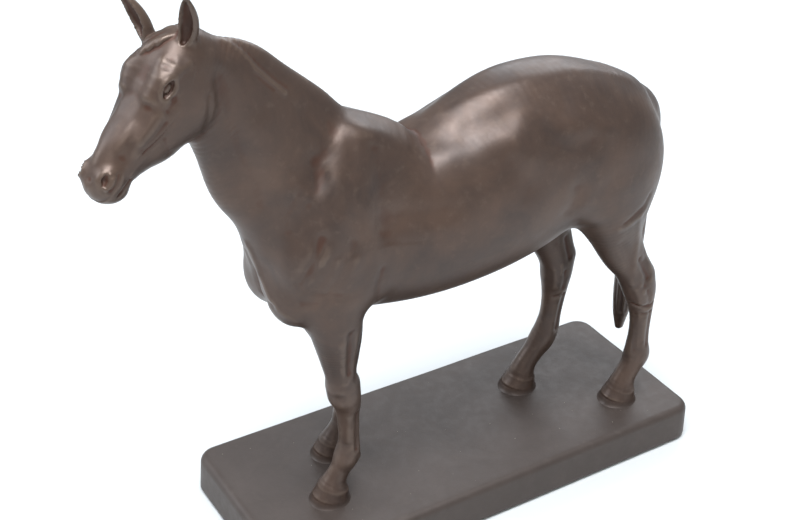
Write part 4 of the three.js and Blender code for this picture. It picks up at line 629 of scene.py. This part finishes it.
def cut(M,keepside,planes):
    """keep quads whose centres pass the test; rim vertices slide along the skin onto the given planes"""
    V,Q,N,c1,c2=M; ctr=V[Q].mean(1); k=np.ones(len(Q),bool)
    for p,n in planes: k&=((ctr-p)@np.array(n))>0
    if keepside is not None: k&=keepside(ctr)
    V=V.copy()
    for p,n in planes:
        n=np.array(n,float); kk=((ctr-p)@n)>0
        a=np.zeros(len(V),bool); b=np.zeros(len(V),bool); a[Q[kk&k].ravel()]=True; b[Q[~kk].ravel()]=True
        r=a&b; d=(V[r]-p)@n; t=n-(N[r]@n)[:,None]*N[r]; tt=np.maximum((t@n),.15)
        V[r]-=d[:,None]*t/tt[:,None]
    Qk=Q[k]; u,inv=np.unique(Qk.ravel(),return_inverse=True)
    return V[u],inv.reshape(-1,4),N[u],c1[u],c2[u]

def join(*Ms):
    o=0; out=[]
    for M in Ms:
        out.append((M[0],M[1]+o,*M[2:])); o+=len(M[0])
    return tuple(np.concatenate([m[i] for m in out]) for i in range(5))

NECK_P=np.array([-86,-1.5,172.]); NECK_N=(-.62,0,.7846)
HEAD_P=np.array([-106,-3,200.])
LEG_P=np.array([0,0,100.]); UP=(0,0,1.); DOWN=(0,0,-1.)
HOOVES=[(-70.6,-14.0,1.0),(-55.6,12.0,1.0),(81.6,-20,1.03),(46.0,11,1.03)]
BOXES={'body':((-124,-42,93),(106,40,236),1.75,1),'legs':((-98,-34,14),(104,30,107),1.1,1),'head':((-172,-34,178),(-84,26,262),.9,1)}
def region(name,coarse=1.0):
    F=build(True); details(F)
    lo,hi,h,lv=BOXES[name]
    return grid_mesh(F,lo,hi,h*coarse,lv)
def pieces_of(body,legs,head):
    tailbox=lambda c:(c[:,0]>84.5)&(np.abs(c[:,1]-Y0)<9.2)&(c[:,2]<166)
    P={}
    onneck=lambda c:((c-NECK_P)@np.array(NECK_N))>0
    P['torso']=cut(body,lambda c:~tailbox(c)&~onneck(c),[(LEG_P,UP)])
    neck=cut(body,onneck,[(HEAD_P,tuple(-np.array(NECK_N)))])
    P['neck_head']=join(neck,cut(head,None,[(HEAD_P,NECK_N)]))
    low=np.array([0,0,17.95])
    near=lambda c:(c[:,2]>21)|(np.min([np.hypot(c[:,0]-x+1,c[:,1]-y) for x,y,s in HOOVES],axis=0)<12.5)
    leg=lambda sx,sy: cut(legs,lambda c:(np.sign(c[:,0])==sx)&(np.sign(c[:,1]-(Y0+(-1.5 if sx>0 else .5)))==sy)&~tailbox(c)&near(c),[(low,UP),(LEG_P,DOWN)])
    P['tail']=join(cut(body,tailbox,[(LEG_P,UP)]),cut(legs,tailbox,[(LEG_P,DOWN)]))
    P['near_fore_leg']=leg(-1,-1);P['off_fore_leg']=leg(-1,1);P['near_hind_leg']=leg(1,-1);P['off_hind_leg']=leg(1,1)
    return P

# ------------------------------------------------------------------ looks
WORLD=.41
LIGHTS=[("left_back",(-1.15,.85,1.05),(0,0,.14),(1.3,1.1),14,(.82,.91,1.)),
        ("overhead",(-.30,-.30,1.75),(0,0,.10),(1.2,1.0),52,(.92,.96,1.)),
        ("window",(-.85,-1.45,1.35),(0,0,.1),(1.1,.9),6,(1.,.97,.93)),
        ("right_back",(1.15,1.1,1.05),(0,0,.14),(1.3,1.0),14,(.85,.93,1.))]
Z=0.001
def material(name):
    m=bpy.data.materials.new(name); m.use_nodes=True; nt=m.node_tree
    return m,nt,nt.nodes["Principled BSDF"]
def node(nt,kind,**kw):
    n=nt.nodes.new(kind)
    for k,v in kw.items():
        if k in n.inputs: n.inputs[k].default_value=v
        else: setattr(n,k,v)
    return n
def noise(nt,co,scale,detail=4.,rough=.55,dist=0.,off=(0,0,0)):
    mp=node(nt,"ShaderNodeMapping"); mp.inputs["Location"].default_value=off
    nt.links.new(co,mp.inputs["Vector"])
    n=node(nt,"ShaderNodeTexNoise"); n.inputs["Scale"].default_value=scale; n.inputs["Detail"].default_value=detail
    n.inputs["Roughness"].default_value=rough; n.inputs["Distortion"].default_value=dist
    nt.links.new(mp.outputs[0],n.inputs["Vector"]); return n.outputs["Fac"] if "Fac" in n.outputs else n.outputs[0]
def ramp(nt,src,a,b,x0=0.,x1=1.):
    r=node(nt,"ShaderNodeMapRange"); r.inputs["From Min"].default_value=a; r.inputs["From Max"].default_value=b
    r.inputs["To Min"].default_value=x0; r.inputs["To Max"].default_value=x1; r.clamp=True
    nt.links.new(src,r.inputs["Value"]); return r.outputs[0]
def mix(nt,fac,a,b):
    n=nt.nodes.new("ShaderNodeMix"); n.data_type='RGBA'; n.blend_type='MIX'
    for sock,v in ((n.inputs[0],fac),(n.inputs[6],a),(n.inputs[7],b)):
        if isinstance(v,(int,float)): sock.default_value=v
        elif isinstance(v,tuple): sock.default_value=(*v,1) if len(v)==3 else v
        else: nt.links.new(v,sock)
    return n.outputs[2]
def math2(nt,op,a,b):
    n=nt.nodes.new("ShaderNodeMath"); n.operation=op
    for i,v in enumerate((a,b)):
        if isinstance(v,(int,float)): n.inputs[i].default_value=v
        else: nt.links.new(v,n.inputs[i])
    return n.outputs[0]
def bump(nt,h,strength,dist,prev=None):
    n=node(nt,"ShaderNodeBump"); n.inputs["Strength"].default_value=strength; n.inputs["Distance"].default_value=dist
    nt.links.new(h,n.inputs["Height"])
    if prev is not None: nt.links.new(prev,n.inputs["Normal"])
    return n.outputs[0]

def bronze(name,mid,dark,light,red,rough,metal,fine,coarse,cav=True):
    m,nt,p=material(name); tc=node(nt,"ShaderNodeTexCoord").outputs["Object"]
    n1=noise(nt,tc,42,6,.62,.4,(.11,.27,.05)); n2=noise(nt,tc,240,6,.6,0,(.4,.1,.3)); n3=noise(nt,tc,1500,3,.5,0,(.2,.7,.1))
    col=mix(nt,ramp(nt,n1,.34,.66),mid,dark)
    col=mix(nt,ramp(nt,n2,.56,.78,0,.35),col,light)
    rgh=math2(nt,'ADD',ramp(nt,n2,.3,.7,rough-.05,rough+.06),0.0)
    if cav:
        at=node(nt,"ShaderNodeAttribute"); at.attribute_name="cav"; c=at.outputs["Fac"]
        aw=node(nt,"ShaderNodeAttribute"); aw.attribute_name="wide_hollow_shade"; w=aw.outputs["Fac"]
        deep=ramp(nt,math2(nt,'ADD',c,math2(nt,'MULTIPLY',n2,.10)),.60,.80)
        col=mix(nt,math2(nt,'MULTIPLY',deep,.85),col,red)
        # painted shade: broad hollows (high broad-cavity attribute) are darkened toward the dark colour, standing in
        # for the shade that falls in them
        soft=ramp(nt,w,.54,.80,0,.45)
        col=mix(nt,soft,col,dark)
        edge=ramp(nt,math2(nt,'SUBTRACT',c,math2(nt,'MULTIPLY',n2,.10)),.34,.18)
        col=mix(nt,math2(nt,'MULTIPLY',edge,.40),col,light)
        rgh=math2(nt,'ADD',rgh,math2(nt,'MULTIPLY',deep,.12))
        rgh=math2(nt,'SUBTRACT',rgh,math2(nt,'MULTIPLY',edge,.05))
    if cav:
        sp=node(nt,"ShaderNodeSeparateXYZ"); nt.links.new(tc,sp.inputs[0])
        foot=ramp(nt,math2(nt,'ADD',sp.outputs[2],math2(nt,'MULTIPLY',n2,.0015)),.0215,.0190)
        col=mix(nt,foot,col,(.066,.049,.042))
    nt.links.new(col,p.inputs["Base Color"]); nt.links.new(rgh,p.inputs["Roughness"])
    p.inputs["Metallic"].default_value=metal; p.inputs["IOR"].default_value=1.5
    b=bump(nt,n2,coarse,.0004); b=bump(nt,n3,fine,.00012,b); nt.links.new(b,p.inputs["Normal"])
    return m

PATINA=bronze("bronze_patina",(.090,.055,.040),(.056,.037,.030),(.140,.098,.074),(.064,.022,.011),.40,.38,.10,.05)
PLINTH=bronze("bronze_plinth",(.068,.051,.044),(.054,.040,.034),(.098,.078,.067),(.05,.028,.02),.50,.25,.16,.09,cav=False)
def plain(name,col,rough,metal,scale,amp,bmp=.1):
    m,nt,p=material(name); tc=node(nt,"ShaderNodeTexCoord").outputs["Object"]; n=noise(nt,tc,scale,5)
    a=tuple(c*(1-amp) for c in col); b=tuple(min(1,c*(1+amp)) for c in col)
    nt.links.new(mix(nt,ramp(nt,n,.3,.7),a,b),p.inputs["Base Color"]); nt.links.new(ramp(nt,n,.3,.7,rough-.06,rough+.06),p.inputs["Roughness"])
    p.inputs["Metallic"].default_value=metal
    nt.links.new(bump(nt,noise(nt,tc,scale*6,4),bmp,.0001),p.inputs["Normal"]); return m
BRASS=plain("fittings_brass",(.46,.30,.12),.34,1.,300,.12)
STEEL=plain("fasteners_steel",(.42,.43,.45),.32,1.,500,.08)
WOOD=plain("backing_wood",(.30,.20,.12),.62,0.,120,.25,.25)
wn=WOOD.node_tree; mp=[n for n in wn.nodes if n.type=='MAPPING']
for n in mp: n.inputs["Scale"].default_value=(.12,1,1)
FELT=plain("felt",(.035,.055,.040),.95,0.,900,.35,.5)
FELT.node_tree.nodes["Principled BSDF"].inputs["Sheen Weight"].default_value=.35

def skin(name,V,Q,N=None,attrs=(),mat=PATINA):
    me=bpy.data.meshes.new(name); me.vertices.add(len(V)); me.vertices.foreach_set("co",(V*Z).astype(np.float32).ravel())
    me.loops.add(len(Q)*4); me.loops.foreach_set("vertex_index",Q.astype(np.int32).ravel())
    me.polygons.add(len(Q)); me.polygons.foreach_set("loop_start",np.arange(0,len(Q)*4,4,dtype=np.int32))
    me.polygons.foreach_set("use_smooth",np.ones(len(Q),bool))
    me.update(calc_edges=True); me.validate()
    for an,v in attrs:
        a=me.attributes.new(an,'FLOAT','POINT'); a.data.foreach_set("value",v.astype(np.float32))
    if N is not None: me.normals_split_custom_set_from_vertices([tuple(n) for n in N])
    ob=bpy.data.objects.new(name,me); bpy.context.scene.collection.objects.link(ob); me.materials.append(mat)
    return ob

MESHES=pieces_of(region("body"),region("legs"),region("head"))
for nm,(V,Q,N,c1,c2) in MESHES.items():
    # fine cavity drives the red patina in crevices and the lighter worn ridges; the broad-hollow attribute drives
    # painted shade in hollows
    ob=skin(nm,V,Q,N,(("cav",np.clip(.5+c1*3.4,0,1)),("wide_hollow_shade",np.clip(.5+c2*.55,0,1))))
    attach(ob,"root"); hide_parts(nm+"_casting")

# ------------------------------------------------------------------ plinth: a shell with softly rounded edges
PL,PW,PH,DR,RC,RE=212.3,79.6,18.2,3.4,5.6,3.5
rng=np.random.default_rng(7); ph=rng.uniform(0,6.28,(6,)); fr=rng.uniform(.02,.07,(6,))
def wave(x,y): return sum(.035*np.sin(f*x*(1+.3*i)+p+f*y*1.7) for i,(f,p) in enumerate(zip(fr,ph)))
def ring(off,z,nc=7,ne=(36,14)):
    hx,hy=PL/2+off,PW/2+off; r=max(RC+off,.6); pts=[]
    for i,(sx,sy) in enumerate(((1,1),(-1,1),(-1,-1),(1,-1))):
        a0=[0,np.pi/2,np.pi,1.5*np.pi][i]
        for t in np.linspace(0,1,nc): a=a0+t*np.pi/2; pts.append((sx*(hx-r)+r*np.cos(a),sy*(hy-r)+r*np.sin(a)))
        q=pts[-1]; nx=((-(hx-r),hy),(-hx,-(hy-r)),((hx-r),-hy),(hx,(hy-r)))[i]
        n=ne[0] if i in (0,2) else ne[1]
        for t in np.linspace(0,1,n+2)[1:-1]: pts.append((q[0]*(1-t)+nx[0]*t,q[1]*(1-t)+nx[1]*t))
    P=np.array([(x,y,z) for x,y in pts]); w=wave(P[:,0],P[:,1]); d=P[:,:2]/np.maximum(np.linalg.norm(P[:,:2],axis=1,keepdims=True),1)
    P[:,:2]+=d*w[:,None]; return P
rings=[(-5.0+.2,14.2),(-5.0+.2,13.6),(-5+2.6,1.5),(-5+2.9,1.1),(DR-1.0,1.0),(DR-.3,1.12),(DR,1.6)]
ET=2.7          # how far the wall stands out at the foot of the top rounding
rings+=[(DR+(ET-DR)*t,1.6+t*(PH-RE-1.6)) for t in np.linspace(.12,1,8)]
rings+=[(ET-RE*(1-np.cos(a)),PH-RE*(1-np.sin(a))) for a in np.linspace(.18,np.pi/2,9)]
rings+=[(ET-RE-1.5,PH),(-8,PH),(-20,PH)]
R=[ring(o,z) for o,z in rings]; nr=len(R[0]); V=np.concatenate(R); Q=[]
for i in range(len(R)-1):
    j=np.arange(nr); k=(j+1)%nr
    Q.append(np.stack([i*nr+j,i*nr+k,(i+1)*nr+k,(i+1)*nr+j],1))
Q=np.concatenate(Q)
me=bpy.data.meshes.new("plinth"); faces=[tuple(q) for q in Q]+[tuple(range((len(R)-1)*nr,len(R)*nr))]+[tuple(reversed(range(nr)))]
me.from_pydata([tuple(v*Z) for v in V],[],faces); me.validate(); me.polygons.foreach_set("use_smooth",[True]*len(me.polygons))
me.materials.append(PLINTH); plinth=bpy.data.objects.new("plinth",me); bpy.context.scene.collection.objects.link(plinth)
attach(plinth,"root"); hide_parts("plinth_casting")

# specks of dust and small casting grains lying on the plinth
rng=np.random.default_rng(21); vs=[]; fs=[]
for i in range(46):
    x,y=rng.uniform(-100,100),rng.uniform(-36,36); r=rng.uniform(.10,.26); o=len(vs)
    for a,b,c in ((1,0,0),(0,1,0),(-1,0,0),(0,-1,0)): vs.append((x+a*r*rng.uniform(.7,1.3),y+b*r*rng.uniform(.7,1.3),PH-.02))
    vs.append((x,y,PH+r*.7)); fs+=[(o,o+1,o+4),(o+1,o+2,o+4),(o+2,o+3,o+4),(o+3,o,o+4),(o+3,o+2,o+1,o)]
me=bpy.data.meshes.new("dust"); me.from_pydata([tuple(np.array(v)*Z) for v in vs],[],fs)
DUST=plain("dust",(.30,.27,.22),.9,0.,200,.2); me.materials.append(DUST)
dust=bpy.data.objects.new("dust",me); bpy.context.scene.collection.objects.link(dust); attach(dust,"root")

# ------------------------------------------------------------------ the rest of the frame
for n,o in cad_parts.items():
    if o.hide_render: continue
    mt=FELT if 'felt' in n else WOOD if n=='base_board' else STEEL if ('screw' in n or 'nut' in n or 'washer' in n or 'stud' in n) else BRASS
    o.data.materials.clear(); o.data.materials.append(mt)

# ------------------------------------------------------------------ floor, light, camera
sc=bpy.context.scene
sc.view_settings.view_transform='Standard'; sc.view_settings.look='None'
bpy.ops.mesh.primitive_plane_add(size=6,location=(0,0,0)); floor=bpy.context.object; floor.name="floor"
fm,nt,p=material("floor"); p.inputs["Base Color"].default_value=(.62,.63,.63,1); p.inputs["Roughness"].default_value=.9; p.inputs["Specular IOR Level"].default_value=.15
floor.data.materials.append(fm)
w=bpy.data.worlds.new("room"); sc.world=w; w.use_nodes=True; bg=w.node_tree.nodes["Background"]; bg.inputs[0].default_value=(.93,.97,1.0,1); bg.inputs[1].default_value=WORLD
def area(name,loc,target,size,power,col):
    l=bpy.data.lights.new(name,'AREA'); l.shape='RECTANGLE'; l.size,l.size_y=size; l.energy=power; l.color=col
    o=bpy.data.objects.new(name,l); sc.collection.objects.link(o); o.location=loc
    o.rotation_euler=(Vector(target)-Vector(loc)).to_track_quat('-Z','Y').to_euler(); return o
for a in LIGHTS: area(*a)
a,e,r=math.radians(-32.973),math.radians(31.972),math.radians(2.240)
back=Vector((math.sin(a)*math.cos(e),-math.cos(a)*math.cos(e),math.sin(e))); fw=-back
right=fw.cross(Vector((0,0,1))).normalized(); up=right.cross(fw)
r2=math.cos(r)*right+math.sin(r)*up; u2=-math.sin(r)*right+math.cos(r)*up
cd=bpy.data.cameras.new("camera"); cd.lens=62.13; cd.sensor_width=36; cd.sensor_fit='HORIZONTAL'; cd.clip_start=.01; cd.clip_end=50
cam=bpy.data.objects.new("camera",cd); sc.collection.objects.link(cam); sc.camera=cam
cam.matrix_world=Matrix(((r2.x,u2.x,back.x,-.2903),(r2.y,u2.y,back.y,-.3941),(r2.z,u2.z,back.z,.4114),(0,0,0,1)))
